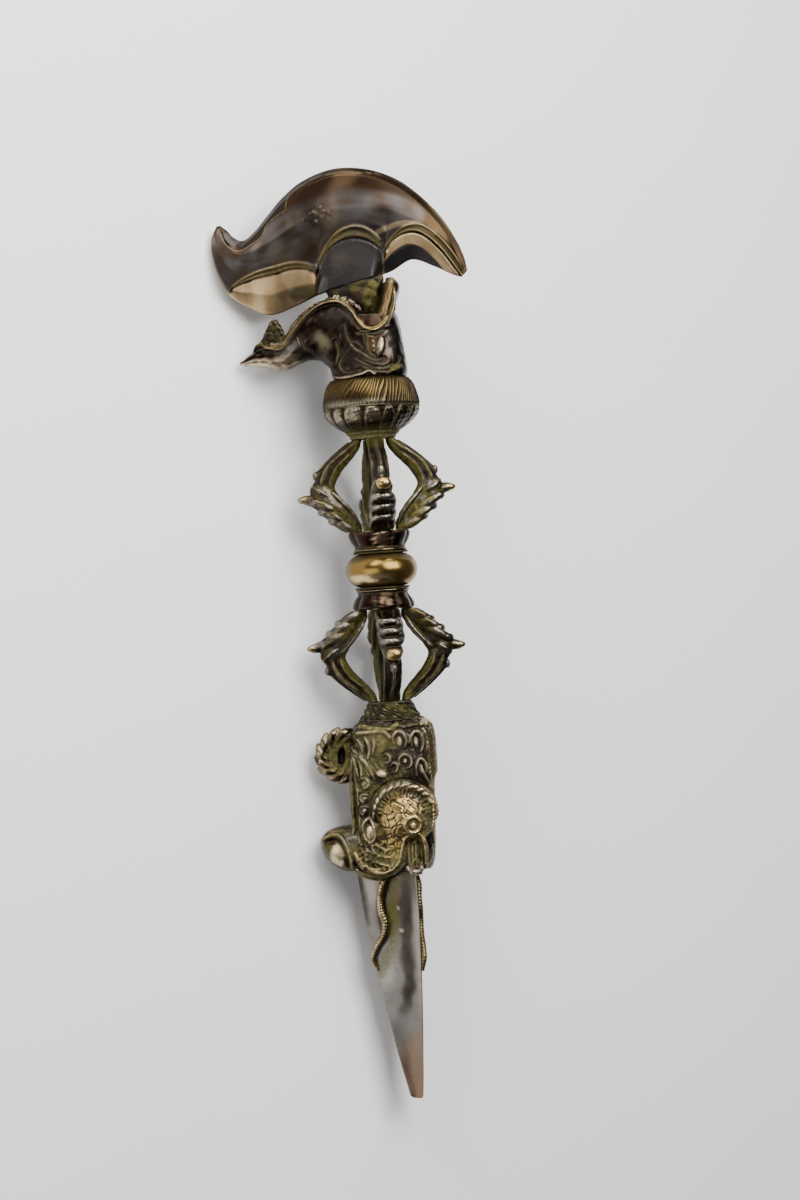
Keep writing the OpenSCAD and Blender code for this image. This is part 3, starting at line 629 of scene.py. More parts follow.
def serpent(node, face):
    steps = 150
    u = np.linspace(0, 8, steps)
    bend = spline([[b] for b in (0.51, 0.6, 0.66, 0.67, 0.63, 0.68, 0.84, 0.95, 0.93)], steps)[:, 0]
    size = spline([[b] for b in (0.8, 1.1, 0.95, 1, 1, 0.95, 0.9, 0.75, 0.4)], steps)[:, 0]
    f = (1 + 26 * u / 8) / BLADE_LENGTH
    normal = np.array([math.cos(TAU * face / 3), 0, math.sin(TAU * face / 3)])
    line = blade_point(f, face, bend) + normal * (1.04 * size + FIT)[:, None]
    ahead = np.gradient(line, axis=0)
    ahead /= np.linalg.norm(ahead, axis=1)[:, None]
    side = np.cross(ahead, normal)
    side /= np.linalg.norm(side, axis=1)[:, None]
    up = np.cross(side, ahead)
    ring = oval(1, 1, 16)
    scale = 1 + 0.05 * np.sin(np.arange(steps) * 1.4)
    rings = (line[:, None] + (size * scale)[:, None, None]
             * (ring[:, :1] * side[:, None] + ring[:, 1:] * up[:, None]))
    points, faces = skin(rings)
    height = np.append(np.tile(ring[:, 1] * np.sign((up[steps // 2] * normal).sum()), steps), [0, 0])
    piece(node, "serpent_bronze", points, faces, {"worn": smooth(height, 0.2, 0.9) * 0.7,
                                                  "green": smooth(-height, -0.3, 0.4) * 0.9})


# Guard head

CHEEK = (2.0, GUARD_LIP + 15)
RUFF = 8.1
FLOWER = (4.2, -79.7)


def guard_parts():
    body = lofted([[0, -8.5, 9.0, .8], [0.8, -9.7, 10.3, .88], [2.2, -10.7, 11.2, .95], [5, -11.4, 11.7, 1],
                   [14, -11.9, 11.7, 1], [17, -12.3, 10.8, .98], [27, -12.4, 10.3, .97],
                   [34, -12.5, 10, .97], [38.4, -12.5, 9.4, .94], [40.4, -12.2, 8.6, .86]], 60, 64, 0.7,
                  base=(0, GUARD_TOP), sense=-1, thick=10.6)
    trunk = lofted([[8, .6, 13.5, 8.4], [12.5, .2, 12.6, 7.8], [15.5, .8, 12.4, 7], [18, 2.4, 11.9, 6.2],
                    [20, 4.6, 10.8, 4.8], [21, 7, 9.4, 2.4]], 36, 48, 0.8, side_on=True,
                   base=(GUARD_LIP, 0), sense=-1)
    pad = crosswise(turned([[0, RUFF], [9.4, RUFF], [9.7, 7.6]], 12, 64), CHEEK)
    parts = [body, trunk, pad, mirrored(pad)]
    cheek = ball((1.5, CHEEK[1] - 1.2, 8.0), (6.6, 7.4, 3.8), 40)
    path = arc(CHEEK, RUFF, np.radians(np.linspace(-12, 186, 15)))
    ruff = tube(np.column_stack([path, np.full(15, 9.5)]), [0.7] + [1.3] * 13 + [0.7], 14, 120)
    lip = tube([(-12.2, -75.0, 7.2), (-10.8, -77.8, 8.2), (-8, -80.0, 9.3), (-4.8, -80.7, 9.8),
                (-2, -79.8, 9.9), (0, -77.8, 9.9), (0.6, -75, 9.9), (1.4, -72.6, 9.9), (3.8, -70.9, 9.8),
                (6.2, -72.2, 9.6), (7, -75, 9.3), (6.9, -79.2, 8.8)], [0.6] + [0.85] * 10 + [0.6], 12, 160)
    roll = tube([(-12, -79.6, 7.0), (-8.6, -81.3, 8.2), (-4.4, -81.8, 8.7), (-0.8, -80.6, 8.8),
                 (0.8, -78.6, 8.8)], [0.7, 1.1, 1.2, 1.1, 0.6], 12, 80)
    band = tube([(-10.4, -47.4, 6.9), (-11.3, -53.4, 6.4), (-11.5, -61.8, 6.5), (-11.5, -67.8, 6.6),
                 (-12, -70.3, 6.6)], [0.5, 0.75, 0.75, 0.7, 0.5], 10, 90)
    inner = tube([(-9.7, -46.4, 7.9), (-10.2, -52, 7.6), (-10.0, -60, 7.8), (-9.7, -69, 8.0),
                  (-8.7, -72.2, 8.7), (-7.2, -73.2, 9.2)], [0.5, 0.75, 0.75, 0.75, 0.7, 0.5], 10, 100)
    ear = tube([(-9.2, -45.8, 8.3), (-7.7, -51.2, 9.2), (-6.3, -56.2, 9.6)], [0.6, 0.8, 0.5], 10, 40)
    for part in (cheek, ruff, lip, roll, band, inner, ear):
        parts += [part, mirrored(part)]
    # The flower of teeth at the corner of the mouth
    for turn, reach in ((-165, 2.3), (-128, 2.5), (-92, 2.5), (-56, 2.5), (-20, 2.2)):
        path = arc(FLOWER, np.array([0.4, 0.6 * reach, reach]), math.radians(turn))
        petal = tube(np.column_stack([path, (9.0, 9.9, 9.5)]), [0.5, 0.85, 0.35], 14, 24)
        parts += [petal, mirrored(petal)]
    return parts


def guard_relief(points, normals):
    side = sided(normals)
    r = Relief(points, side)
    x, y, z = points.T
    # Fine strands everywhere that the curls leave free
    flow = x * 0.9 + 0.45 * y + 1.8 * np.sin(0.32 * y + 0.2 * x)
    strands = stripes(flow, 1.5)
    hairy = smooth(y, -59, -56.5) * smooth(-y, 43, 44) * side * (x > -9.4) * (x < 8.6)
    r.down -= (0.25 + 0.3 * (1 - strands)) * hairy
    r.mark(deep=(0.45 + 0.5 * (1 - strands)) * hairy)
    olive = smooth(1.5 - x + 2 * noise(points, 5, 44), -1, 4)
    r.mark(green=0.7 * hairy * olive * smooth(noise(points, 4, 17), -0.3, 0.6))
    # Folds round the shoulder
    r.line([(-8.5, -41.4), (-5, -42.2), (-1, -42.6), (1.5, -41.6)], 0.8, 0.5, green=0.9)
    r.line([(-9.2, -43.4), (-5.4, -43.2), (-2, -43.4), (-0.6, -44.8)], 0.6, 0.6, green=1.0, worn=0.15)
    r.line([(-0.4, -42), (3, -43), (7, -42.4), (10.5, -42.6)], 0.55, -0.45, deep=0.9)
    r.line([(-10.8, -48), (-10.9, -55), (-10.8, -62), (-10.6, -68), (-10.2, -71)], 0.45, -0.6,
           deep=0.5, green=0.5)
    # Long locks from the crest down to the brow and the leaf beside them
    r.strokes(((0.6, [(-11.2, -46.6), (-9.6, -48.8), (-7.7, -50.9), (-6.5, -53.0), (-5.4, -55.8)]),
               (0.7, [(-9.2, -44.9), (-8.3, -46.6), (-8.0, -48.4)]),
               (0.75, [(-7.4, -44.3), (-6.4, -46.2), (-6.2, -48.2), (-6.9, -50.4)]),
               (0.65, [(-5.2, -44.6), (-4.9, -46.8), (-5.6, -49.4)]),
               (0.45, [(-10.9, -48.2), (-10.3, -51.4), (-9.6, -55.6)]),
               (0.45, [(-10.7, -48.4), (-9.0, -51.2), (-8.7, -54.2), (-9.5, -56)])),
              0.4, -0.4, 0.9, 0.9, worn=0.12, green=0.4)
    r.bump((-3.0, -46.6), (1.4, 2.4), 0.3, turn=-10, green=1.0)
    # Curls of the mane: two fat loops above, a row of rounder ones below
    r.strokes(((0.85, [(0.4, -46.8), (0.2, -44.8), (1.4, -43.5), (3.0, -43.9), (3.7, -45.8),
                       (3.2, -47.8)]),
               (0.5, [(3.9, -43.8), (4.6, -45.2), (4.2, -46.9)]),
               (0.8, [(5.2, -47.6), (4.9, -45.2), (6.0, -43.7), (7.5, -44.3), (8.0, -46.6), (7.4, -49.2)]),
               (0.5, [(-2.9, -49.8), (-2.0, -49.1), (-0.9, -49.9), (-1.1, -51.3), (-2.4, -51.5)]),
               (0.6, [(-0.9, -54.2), (0.6, -53.8), (1.0, -52.2), (-0.1, -51.6), (-0.9, -52.5)]),
               (0.75, [(1.6, -52.6), (1.5, -50.6), (2.9, -49.5), (4.5, -50.4), (4.6, -52.4),
                       (3.4, -53.3)]),
               (0.5, [(2.7, -51.6), (3.4, -51.4)]),
               (0.65, [(6.0, -55.4), (5.9, -52.6), (7.0, -50.9), (8.3, -52.2), (8.4, -54.8)]),
               (0.6, [(7.2, -52.6), (7.5, -54.4), (8.4, -56.4), (8.9, -58.2)])),
              0.5, -0.5, 1.0, 1.3, worn=0.14, steel=0.5)
    for centre, size, share in (((1.9, -46.0), (0.75, 1.5), 0.85), ((6.4, -46.6), (0.7, 1.6), 0.6),
                                ((3.1, -51.3), (0.5, 0.6), 1.0), ((7.1, -53.6), (0.45, 1.3), 0.7)):
        r.bump(centre, size, 0.6, turn=8, worn=0.7 * share)
    r.bump((-3.4, -54.4), (1.6, 1.0), 1.3, turn=-20, worn=1.0)
    for centre, radius, start, sweep in (((-8.1, -56.8), 1.4, 150, -260), ((-8.3, -60.7), 1.1, 30, 250),
                                         ((-8.6, -64.0), 1.2, 30, 250)):
        r.curl(centre, radius, start, sweep, worn=0.12, steel=0.4)
    # Steel grey on the curls broken into patches: painted glints
    r.marks["steel"] *= 0.35 + 0.65 * smooth(noise(points, 2.4, 77), -0.6, 0.6)
    # Strip of hair along the back
    r.line([(8.4, -43), (9.2, -46), (9.3, -52), (9.5, -57), (9.9, -62), (9.6, -68), (9.3, -71), (9.8, -76),
            (9.2, -82)], 0.5, 0.5, worn=0.2, green=0.5)
    # Ruff outline, the hairs inside it and the drop beside it
    r.line(arc(CHEEK, RUFF + 1.5, np.radians(np.linspace(-10, 190, 13))), 0.6, -0.8, deep=1.0)
    reach = np.hypot(x - CHEEK[0], y - CHEEK[1])
    angle = np.arctan2(y - CHEEK[1], x - CHEEK[0])
    hairs = smooth(reach, 5.4, 6.1) * smooth(7.3 - reach, 0, 0.4) * side * smooth(y, -66.5, -64)
    fine = np.abs(np.sin(19 * angle + 0.8 * np.sin(5 * angle)))
    r.down -= 0.4 * hairs * (1 - fine)
    drop = [(-7.8, -66.1), (-9.1, -68.4), (-8.8, -71.1), (-7.6, -72.6), (-6.2, -71.4), (-6.1, -68.8),
            (-6.9, -66.8)]
    r.line(drop, 0.5, 0.9, worn=0.4, green=0.3, closed=True)
    r.bump((-7.45, -69.9), (0.95, 2.1), 1.0, worn=1.0)
    # Cracks over the cheek and pebbles in the fold of the trunk
    dome = np.clip(1 - np.hypot((x - 1.6) / 7.0, (y + 66.6) / 7.4), 0, 1) * side
    low = (side * smooth(x, -3.6, -2.2) * smooth(1.2 - x, 0, 1.0) * smooth(-66 - y, 0, 2)
           * smooth(y, -79.2, -77))
    free = smooth(np.hypot(x - EYE[0], y - EYE[1]), 2.3, 3.0)
    cover = np.maximum(smooth(dome, 0.06, 0.2), low) * free
    warp = 0.5 * noise(points, 3, 23)
    cracks = smooth(0.14 - cells(x + 0.2 * y + warp, 0.8 * y - 0.3 * x - warp, 2.3, 8), 0, 0.1)
    r.down -= 0.3 * cracks * cover
    fold = side * smooth(x, -11.3, -10.5) * smooth(-x, 1.4, 2.6) * smooth(-71.6 - y, 0, 0.8) * (y > -79.9)
    fold = fold * (1 - low) * smooth(np.hypot((x + 6.4) / 2, y + 69.5), 2.6, 3.2)
    pebbles = smooth(cells(x - 0.3 * y + warp, 0.9 * y + 0.3 * x, 1.75, 9), 0.1, 0.34)
    r.up = np.maximum(r.up, 0.4 * (1 - pebbles) * fold)
    r.down -= 0.3 * pebbles * fold
    r.mark(deep=cover * cracks)
    r.mark(deep=0.8 * fold * pebbles * (0.6 + 0.4 * noise(points, 2, 61)), green=0.8 * fold * (1 - pebbles))
    r.mark(gold=0.5 * fold * smooth(x, -8, -3), green=0.9 * hairs * smooth(noise(points, 3, 18), -0.8, 0.3))
    gold = np.maximum(smooth(dome, 0.1, 0.3), low)
    r.mark(gold=gold * (1 - cracks * free))
    # A faint painted highlight on the left of the cheek
    r.mark(worn=0.12 * gold * r.spot((-0.5, -68), (4.4, 6), .6) * (1 - cracks * free))
    # Brow, eye and lips
    for path in ([(1.9, -61.7), (3.6, -62.5), (5.4, -64.2), (6.6, -66.6)],
                 [(1.9, -61.7), (2.9, -63.9), (4.4, -65.5), (6.4, -66.8)],
                 [(6.3, -65.4), (7.3, -67.2), (7.6, -69.2)], [(2.6, -66.3), (1.7, -68), (1.7, -69.8)]):
        r.line(path, 0.32, 0.35, worn=0.4, taper=True)
        r.line([(a + 0.1, b - 0.5) for a, b in path[1:]], 0.25, -0.2, deep=0.6)
    r.ring(EYE, 2.05, 0.5, 0.55, worn=0.75)
    r.ring(EYE, 1.3, 0.4, -0.4, deep=0.8)
    r.bump(EYE, (0.75, 0.75), 0.5, worn=1.0)
    r.line([(-12.6, -76.5), (-11, -79), (-8.3, -80.8), (-4.5, -81.6), (-1.3, -80.6), (0.9, -78.3)], 0.35,
           -0.5, deep=0.8, green=0.4)
    r.line([(-12, -75.2), (-10.1, -77.6), (-7.5, -79.9), (-4.9, -80.8), (-2.2, -80.1), (-0.3, -78),
            (0.7, -74.8), (1.5, -72.4), (3.0, -71), (5.0, -70.8), (6.5, -71.8), (7.1, -74.4), (7.0, -79.6)],
           0.5, 0.25, gold=0.6, worn=0.1)
    arch = np.clip(1 - np.hypot((x - 3.9) / 2.0, np.where(y > -74, (y + 74) / 1.9, 0)), 0, 1)
    arch = smooth(arch * (y < -71.8) * (y > -80.2), 0, 0.35) * side
    r.down = np.minimum(r.down, -2.0 * arch)
    # The bottom of the arch is painted with shade
    r.mark(green=arch * 0.9, deep=arch * smooth(-y, 76, 79))
    for stripe in (2.9, 4.0, 5.1):
        r.line([(stripe, -73.4), (stripe - 0.2, -76), (stripe - 0.1, -79)], 0.4, 0.8, green=0.9, worn=0.1)
    r.line([(3.2, -80), (3.6, -78.8), (4.8, -78.2), (5.8, -79.2)], 0.45, 0.8, gold=0.8)
    teeth = r.spot((4.2, -80.3), (3.1, 2.9), 0.3) * smooth(-y, 78.9, 79.5) * (np.abs(z) > 8)
    r.mark(worn=0.3 * teeth, steel=0.9 * teeth)
    r.marks["green"] -= teeth
    # Snout lips and a painted highlight on the front lobe
    r.line([(-12.4, -67.8), (-15, -68.2), (-17.6, -68.9), (-19.6, -69.8)], 0.5, 0.7, green=0.7, worn=0.3)
    r.line([(-12.6, -69.2), (-15, -69.2), (-17.6, -69.8), (-19.8, -70.8)], 0.35, -0.4, deep=0.9)
    r.line([(-20.0, -71.4), (-18, -70.4), (-15.8, -70.6), (-14.3, -72.4), (-13.3, -75.4), (-12.7, -78.6)],
           0.7, 0.8, green=1.0)
    r.line([(-18.6, -71.9), (-16.6, -71.7), (-15.4, -73.6), (-14.4, -76.4), (-13.8, -79)], 0.45, -0.6,
           deep=0.9)
    r.mark(worn=0.95 * r.spot((-16.8, -76.2), (2.1, 4.2), 0.4) * smooth(normals[:, 2]**2, 0.02, 0.3))
    # Hair hatched over the back and flutes down the front
    back = smooth(x, 9.0, 9.8) * smooth(y, -79, -77)
    hatch = stripes(y + 0.75 * np.abs(z), 1.15)
    r.down -= 0.45 * back * (1 - hatch)
    r.mark(deep=0.6 * back * (1 - hatch), gold=0.6 * back * hatch)
    front = smooth(-normals[:, 0], 0.4, 0.7) * (y < -56)
    flutes = stripes(z, 2.6)
    r.down -= 0.35 * front * (1 - flutes)**2 * (x > -13.5)
    plain = (1 - smooth(dome, 0.02, 0.2)) * smooth(noise(points, 6, 3), -0.7, 0.4) * smooth(-y, 42.5, 44)
    r.mark(green=0.5 * plain * np.maximum(olive, smooth(-y, 56, 60)))
    # Darker over the top, with a painted glint at its back corner
    top = smooth(y, -45, -42)
    r.mark(deep=0.5 * top, worn=0.8 * r.spot((9.0, -41.2), (1.6, 1.0), 0.5))
    r.down -= 0.35 * top * smooth(noise(points, 1.7, 71), -0.2, 0.8)
    r.marks["green"] -= 0.5 * smooth(x, 3, 6) * smooth(y, -59, -56)
    # Pebbles along the ruff's cord, with a painted highlight on its upper half
    off = reach - RUFF
    on_ruff = smooth(1.25 - np.abs(off), 0, 0.4) * side * (y > CHEEK[1] - 1.8)
    cord = np.abs(np.sin(11.5 * angle + 0.5 * np.sin(7 * angle) + 0.9 * off))
    cord *= 0.75 + 0.25 * np.cos(2.6 * off)
    r.down -= 0.45 * on_ruff * (1 - cord)**1.5
    r.mark(worn=0.8 * on_ruff * cord * smooth(y, -67, -58), deep=0.8 * on_ruff * (1 - cord)**2)
    r.marks["green"] *= 1 - 0.7 * on_ruff
    return r


def guard_head():
    points, normals, faces = fused(guard_parts(), 0.26)
    r = guard_relief(points, normals)
    r.mark(steel=0.3 * smooth(noise(points, 9, 4), 0.1, 0.9))
    points = r.carved(points, normals, 0.06 * noise(points, 2.6, 9))
    piece("guard_head", "guard_bronze", points, faces, r.marks)


def guard_crest():
    centre = (-13.6, GUARD_TOP - 9)
    parts = []
    # Long flames that sweep round the disc, from the shoulder to the brow
    for k, tip in enumerate((38, 66, 94, 122, 150, 176, 202, 228, 256)):
        far = np.array([3.4, 4.9, 6.3, 7.5 if 0 < k < 7 else 7.1])
        path = arc(centre, far, np.radians(tip + np.array([50, 34, 17, 0])))
        for z in (1.45, -1.45):
            parts.append(tube(np.column_stack([path, z * np.array([0.8, 1.1, 1.1, 0.6])]),
                              [0.5, 1.0, 1.12, 0.55], 12, 30))
    round_disc = np.arange(48) * TAU / 48
    parts.append(skin([np.column_stack([arc(centre, r, round_disc), np.full(48, z)])
                       for r, z in ((4.2, -1.9), (5.2, -1.5), (5.7, 0), (5.2, 1.5), (4.2, 1.9))]))
    parts.append(slab(-12.9, -8.9, 1.2, (GUARD_TOP - 4.05, GUARD_TOP - 12.95)))
    points, normals, faces = fused(parts, 0.2, 1)
    x, y, z = points.T
    free = (np.abs(z) > 1.3) | (y > GUARD_TOP - 3.9) | (y < GUARD_TOP - 13.1)
    points[:, 0] = np.where(free, np.minimum(x, -10.6), x)
    r = Relief(points, sided(normals))
    # The almond pit is painted near black: painted shade of a hole through the crest
    r.bump((-13.9, -49.4), (0.95, 2.3), -1.9, deep=1.0, turn=-8)
    away = np.hypot(x - centre[0], y - centre[1])
    r.mark(worn=0.35 * smooth(away, 5.2, 6.6) * smooth(noise(points, 4, 5), -0.7, 0.5))
    almond = np.maximum(1 - ((y + 49.4) / 3.1)**2, 0.01)
    hole = smooth(1 - np.abs(x + 13.8 - 0.12 * (y + 49.4)) / (1.35 * almond), 0, 0.3)
    r.mark(green=smooth(-away, -5.4, -4.2))
    r.marks["green"] -= 3 * hole
    points = r.carved(points, normals, 0.06 * noise(points, 2.2, 19))
    piece("guard_crest", "guard_bronze", points, faces, r.marks)


def guard_rivet():
    half, radius = 11.5, 0.8
    end = [[half - 1, radius], [half, radius], [half + 0.6, 0.5], [half + 0.8, 0.05]]
    profile = [[-s, r] for s, r in end[::-1]] + end
    points, faces = crosswise(turned(profile, 40, 28), EYE)
    piece("guard_rivet", "eye_brass", points, faces, {"worn": 0.8})


# Turned pieces of the handle

def lathe(node, slot, profile, steps, sides, bulge, tones, flip=False, crisp=1.0):
    """A turned piece; tones are its layers, or give them from station, angle and radius."""
    points, faces = turned(profile, steps, sides, bulge)
    angle = np.arctan2(points[:, 2], points[:, 0])
    radius = np.hypot(points[:, 0], points[:, 2])
    layers = tones(points[:, 1], angle, radius) if callable(tones) else tones
    if flip:
        points = points * [1, -1, 1]
        faces = reversed_faces(faces)
    lumps = 0.05 * noise(points, 7, len(node)) * smooth(radius, 2.6, 5)
    points = points + lumps[:, None] * np.stack([np.cos(angle), 0 * angle, np.sin(angle)], 1)
    piece(node, slot, points, faces, layers, crisp)


def core_rod():
    bottom, top = GUARD_TOP - 16, HEAD_SEAT + 8
    profile = [[bottom, 2.2], [bottom + 0.4, 2.5], [bottom + 6, 2.5], [0, 2.5], [top - 6, 2.5],
               [top - 0.4, 2.5], [top, 2.2]]
    lathe("core_rod", "rod_iron", profile, 260, 32, lambda s, a: 0.12 * np.sin(3 * a + s * 0.35) - 0.12,
          lambda s, a, _: {"green": 0.5 * smooth(np.sin(s * 0.8 + 2 * a), -0.4, 0.8)})


def hub(node, flip):
    profile = [[HUB_SEAT, 6.9], [HUB_SEAT + 0.4, 7.15], [HUB_SEAT + 1.2, 6.75], [HUB_SEAT + 2.9, 7.7],
               [HUB_SEAT + 4.4, 8.25], [HUB_SEAT + 5.2, 8.1], [HUB_FACE, 7.3], [HUB_FACE, 4.5]]
    # The petal under the front prong is pointed and carries a painted highlight, weaker on the lower hub
    front = TAU / 4 - CAGE_TURN

    def petals(s, a):
        lobe = np.abs(np.cos(4 * (a - front)))
        rise = smooth(s, HUB_SEAT + 0.8, HUB_SEAT + 2.6) * smooth(HUB_FACE - s, -0.1, 0.6)
        return (lobe**0.7 - 0.85) * 0.7 * rise

    def tones(s, a, r):
        off = (a - front + math.pi) % TAU - math.pi
        reach = np.abs(off) * 8 / 3.4 + np.abs(s - HUB_SEAT - 3.1) / 3.2
        painted_highlight = smooth(1.1 - reach + 0.25 * np.sin(5 * s + 9 * a), 0, 0.6) * smooth(r, 6, 6.8)
        painted_highlight *= (0.2 if flip else 1) * (0.55 + 0.45 * smooth(off, -0.1, 0.2))
        lobe = np.abs(np.cos(4 * off))
        rise = smooth(s, HUB_SEAT + 1.2, HUB_SEAT + 3) * smooth(r, 6, 7.4)
        crowns = 0.15 * rise * smooth(lobe, 0.8, 1.0) * smooth(np.sin(a * 2.3 + 0.8), -0.2, 0.7)
        return {"worn": 0.7 * painted_highlight + crowns,
                "deep": 0.9 * smooth(0.5 - lobe, 0, 0.4) * rise,
                "green": 0.5 * smooth(s, HUB_FACE - 0.5, HUB_FACE)}

    lathe(node, "hub_bronze", profile, 60, 240, petals, tones, flip)


def washer(node, flip):
    profile = [[4.5, 3], [4.5, 7.1], [4.62, 7.4], [4.93, 7.4], [5.05, 7.1], [5.05, 3]]
    # Darkened all over: painted shade between the hub and the ring
    lathe(node, "hub_bronze", profile, 26, 96, None, {"green": 0.35, "deep": 0.6}, flip, crisp=0)


def centre_ring():
    half = 4.5
    turns = np.radians(np.linspace(-90, 90, 13))
    rim = [[half * math.sin(a), 5.2 + half * math.cos(a)] for a in turns]
    profile = [[-half, 3]] + rim + [[half, 3]]

    def tones(s, a, _):
        # A painted highlight on one side towards the bottom, and darker towards both edges
        rubbed_and_lit = smooth(np.cos(a - 2.0), 0.6, 1) * smooth(1 - np.abs(s + 2.2) / 1.6, 0, 0.8)
        edge = np.abs(s + 0.5 + 0.5 * np.sin(3 * a + 0.5))
        return {"worn": 0.9 * rubbed_and_lit, "deep": 0.9 * smooth(edge, 2.6, 4.1) * (1 - rubbed_and_lit),
                "green": 0.3 * smooth(np.abs(s), 4, 4.5)}

    lathe("centre_ring", "ring_brass", profile, 70, 160, None, tones, crisp=0.1)


def lower_crown():
    top, low = CROWN_FACE + FIT, -GUARD_TOP
    profile = [[top, BORE], [top, 5.6], [top + 0.5, 6.1], [top + 1.5, 6.4], [top + 3, 7.1],
               [top + 4.2, 7.9], [low, 8.5], [low, BORE]]

    def lumps(s, a):
        return np.sin(9 * a + 1.7 * s) * np.sin(5 * a - 2.3 * s) + 0.6 * np.sin(17 * a + 3.1 * s)

    def folds(s, a):
        """Metal that runs down from the foot of each prong."""
        root = np.cos(4 * (a - CAGE_TURN) + 0.3 * np.sin(2 * a))
        return (0.45 * root + 0.28 * lumps(s, a) - 0.3) * smooth(s, top + 0.2, top + 1.4)

    def tones(s, a, _):
        rough = lumps(s, a)
        crust = smooth(np.sin(3 * a + 0.8 * s + 1.2 * rough), 0.1, 1.3)
        # Darkened all over, and most in the dips between the lumps, with grime and painted shade
        return {"green": 0.05 + 0.7 * crust * smooth(low - s, 0.3, 2.5),
                "deep": 0.55 + 0.4 * smooth(-rough, -0.2, 0.8),
                "worn": 0.3 * smooth(rough, 0.9, 1.5)}

    lathe("lower_crown", "crown_bronze", profile, 60, 240, folds, tones, flip=True)


def upper_crown():
    low, top = CROWN_FACE + FIT, LOTUS_SEAT
    profile = [[low, BORE], [low, 5.8], [low + 0.4, 6.2], [low + 0.9, 6.4], [top, 7], [top, BORE]]
    lathe("upper_crown", "crown_bronze", profile, 36, 160,
          lambda _, a: -0.25 + 0.25 * np.abs(np.cos(8 * a)), {"green": 0.85, "worn": 0.15})


def lotus_cup():
    foot, rim, height = 7.2, 13.0, 6.85
    f = np.linspace(0, 1, 8)
    top = LOTUS_SEAT + height
    flare = foot + (rim - foot) * np.sin(f * TAU / 4)**0.9
    curve = np.stack([LOTUS_SEAT + height * (0.05 + 0.9 * f), flare], 1).tolist()
    profile = [[LOTUS_SEAT, BORE], [LOTUS_SEAT, foot]] + curve + [[top, rim - 0.5], [top, BORE]]

    def petal(s, a):
        f = (s - LOTUS_SEAT) / height
        lean = a + 0.25 * np.cos(a) * (1 - f) + 0.03 * np.sin(5 * a) + 0.02 * np.sin(11 * a)
        swing = np.abs(np.cos(8 * lean))**0.8
        arch = swing - np.clip((f - 0.3 - 0.08 * np.sin(4 * a)) / 0.85, 0, 1)**1.8
        return smooth(arch, 0.0, 0.5), smooth(arch, 0.0, 0.15) * smooth(0.34 - arch, 0, 0.18), f

    def bulge(s, a):
        tip, lip, f = petal(s, a)
        rough = 0.1 * np.sin(23 * a + 2 * s) * np.sin(13 * a - 3 * s)
        return ((tip - 1) * 0.8 + 0.35 * lip + rough) * smooth(f, 0.0, 0.2) * smooth(1.03 - f, 0, 0.1)

    def tones(s, a, r):
        tip, lip, f = petal(s, a)
        outer = smooth(r, 6.5, 8)
        # The front left gets painted highlights on the petal tips and less shade and green; elsewhere
        # painted shade darkens the gaps between petals
        painted_highlight = smooth(np.cos(a - 2.1), 0.5, 0.98)
        rubbed_and_lit = 0.4 * smooth(tip, 0.5, 1) * painted_highlight * outer * smooth(f, 0.3, 0.55)
        return {"worn": rubbed_and_lit + 0.12 * lip * outer,
                "deep": (0.9 * (1 - tip) + 0.2) * outer * (1 - 0.5 * painted_highlight),
                "green": (0.8 * smooth(0.35 - f, 0, 0.35) + 0.6 * lip * (1 - painted_highlight)) * outer}

    lathe("lotus_cup", "lotus_bronze", profile, 90, 420, bulge, tones)


def mane_ring():
    height = 7.65
    turns = np.linspace(math.radians(12), math.radians(86), 10)
    rise = (np.sin(turns) - math.sin(turns[0])) / (math.sin(turns[-1]) - math.sin(turns[0]))
    curve = np.stack([MANE_SEAT + height * (0.03 + 0.97 * rise), 13.3 - 3.4 * (1 - np.cos(turns))], 1)
    profile = [[MANE_SEAT, BORE], [MANE_SEAT, 12.6]] + curve.tolist() + [[MANE_SEAT + height, BORE]]

    def bare(a):
        """Where the hair is rubbed away, at the front left; this patch also carries a painted highlight."""
        return smooth(np.cos(a - 2.0), 0.55, 0.98)

    def strand(s, a):
        f = np.clip((s - MANE_SEAT) / height, 0, 1)
        drift = a + (0.16 + 0.1 * np.sin(a - 0.5)) * f**1.3 + 0.035 * np.sin(7 * a + 2 * f)
        drift += 0.02 * np.sin(17 * a)
        return np.abs(np.sin(37 * drift))**0.8

    def tones(s, a, r):
        outer = smooth(r, 8, 10)
        hair = strand(s, a)
        low = smooth(MANE_SEAT + 2.4 - s, 0, 2.2)
        # Painted highlights: gold over the strands on one side, light on the strand crests on another,
        # silver on the rubbed patch at the foot; the grooves and the foot are darkened with painted shade
        painted_light_side = smooth(np.cos(a - 2.2), -0.3, 0.7) * smooth(s, MANE_SEAT + 1.5, MANE_SEAT + 5)
        gaps = smooth(0.62 - hair, 0, 0.5) * (1 - 0.6 * bare(a))
        ridge_highlights = 0.16 * smooth(hair, 0.75, 1) * smooth(np.cos(a - 1.1), -0.2, 0.8)
        return {"deep": (gaps + 0.5 * low * (1 - bare(a))) * outer,
                "worn": (ridge_highlights + 0.25 * bare(a) * low) * outer,
                "gold": 0.6 * painted_light_side * smooth(hair, 0.3, 0.9) * outer,
                "steel": 0.6 * bare(a) * low * outer,
                "green": 0.3 * smooth(0.5 - hair, 0, 0.4) * outer * smooth(s - MANE_SEAT, 1, 5)}

    def grooves(s, a):
        foot = smooth(MANE_SEAT + 0.9 - s, 0, 0.9)
        return -0.62 * (1 - strand(s, a)) * (1 - 0.8 * bare(a)) - 0.3 * foot

    lathe("mane_ring", "mane_brass", profile, 70, 700, grooves, tones, crisp=0.25)


# Prongs, drawn once as (distance from the axis, distance along the cage, sideways)

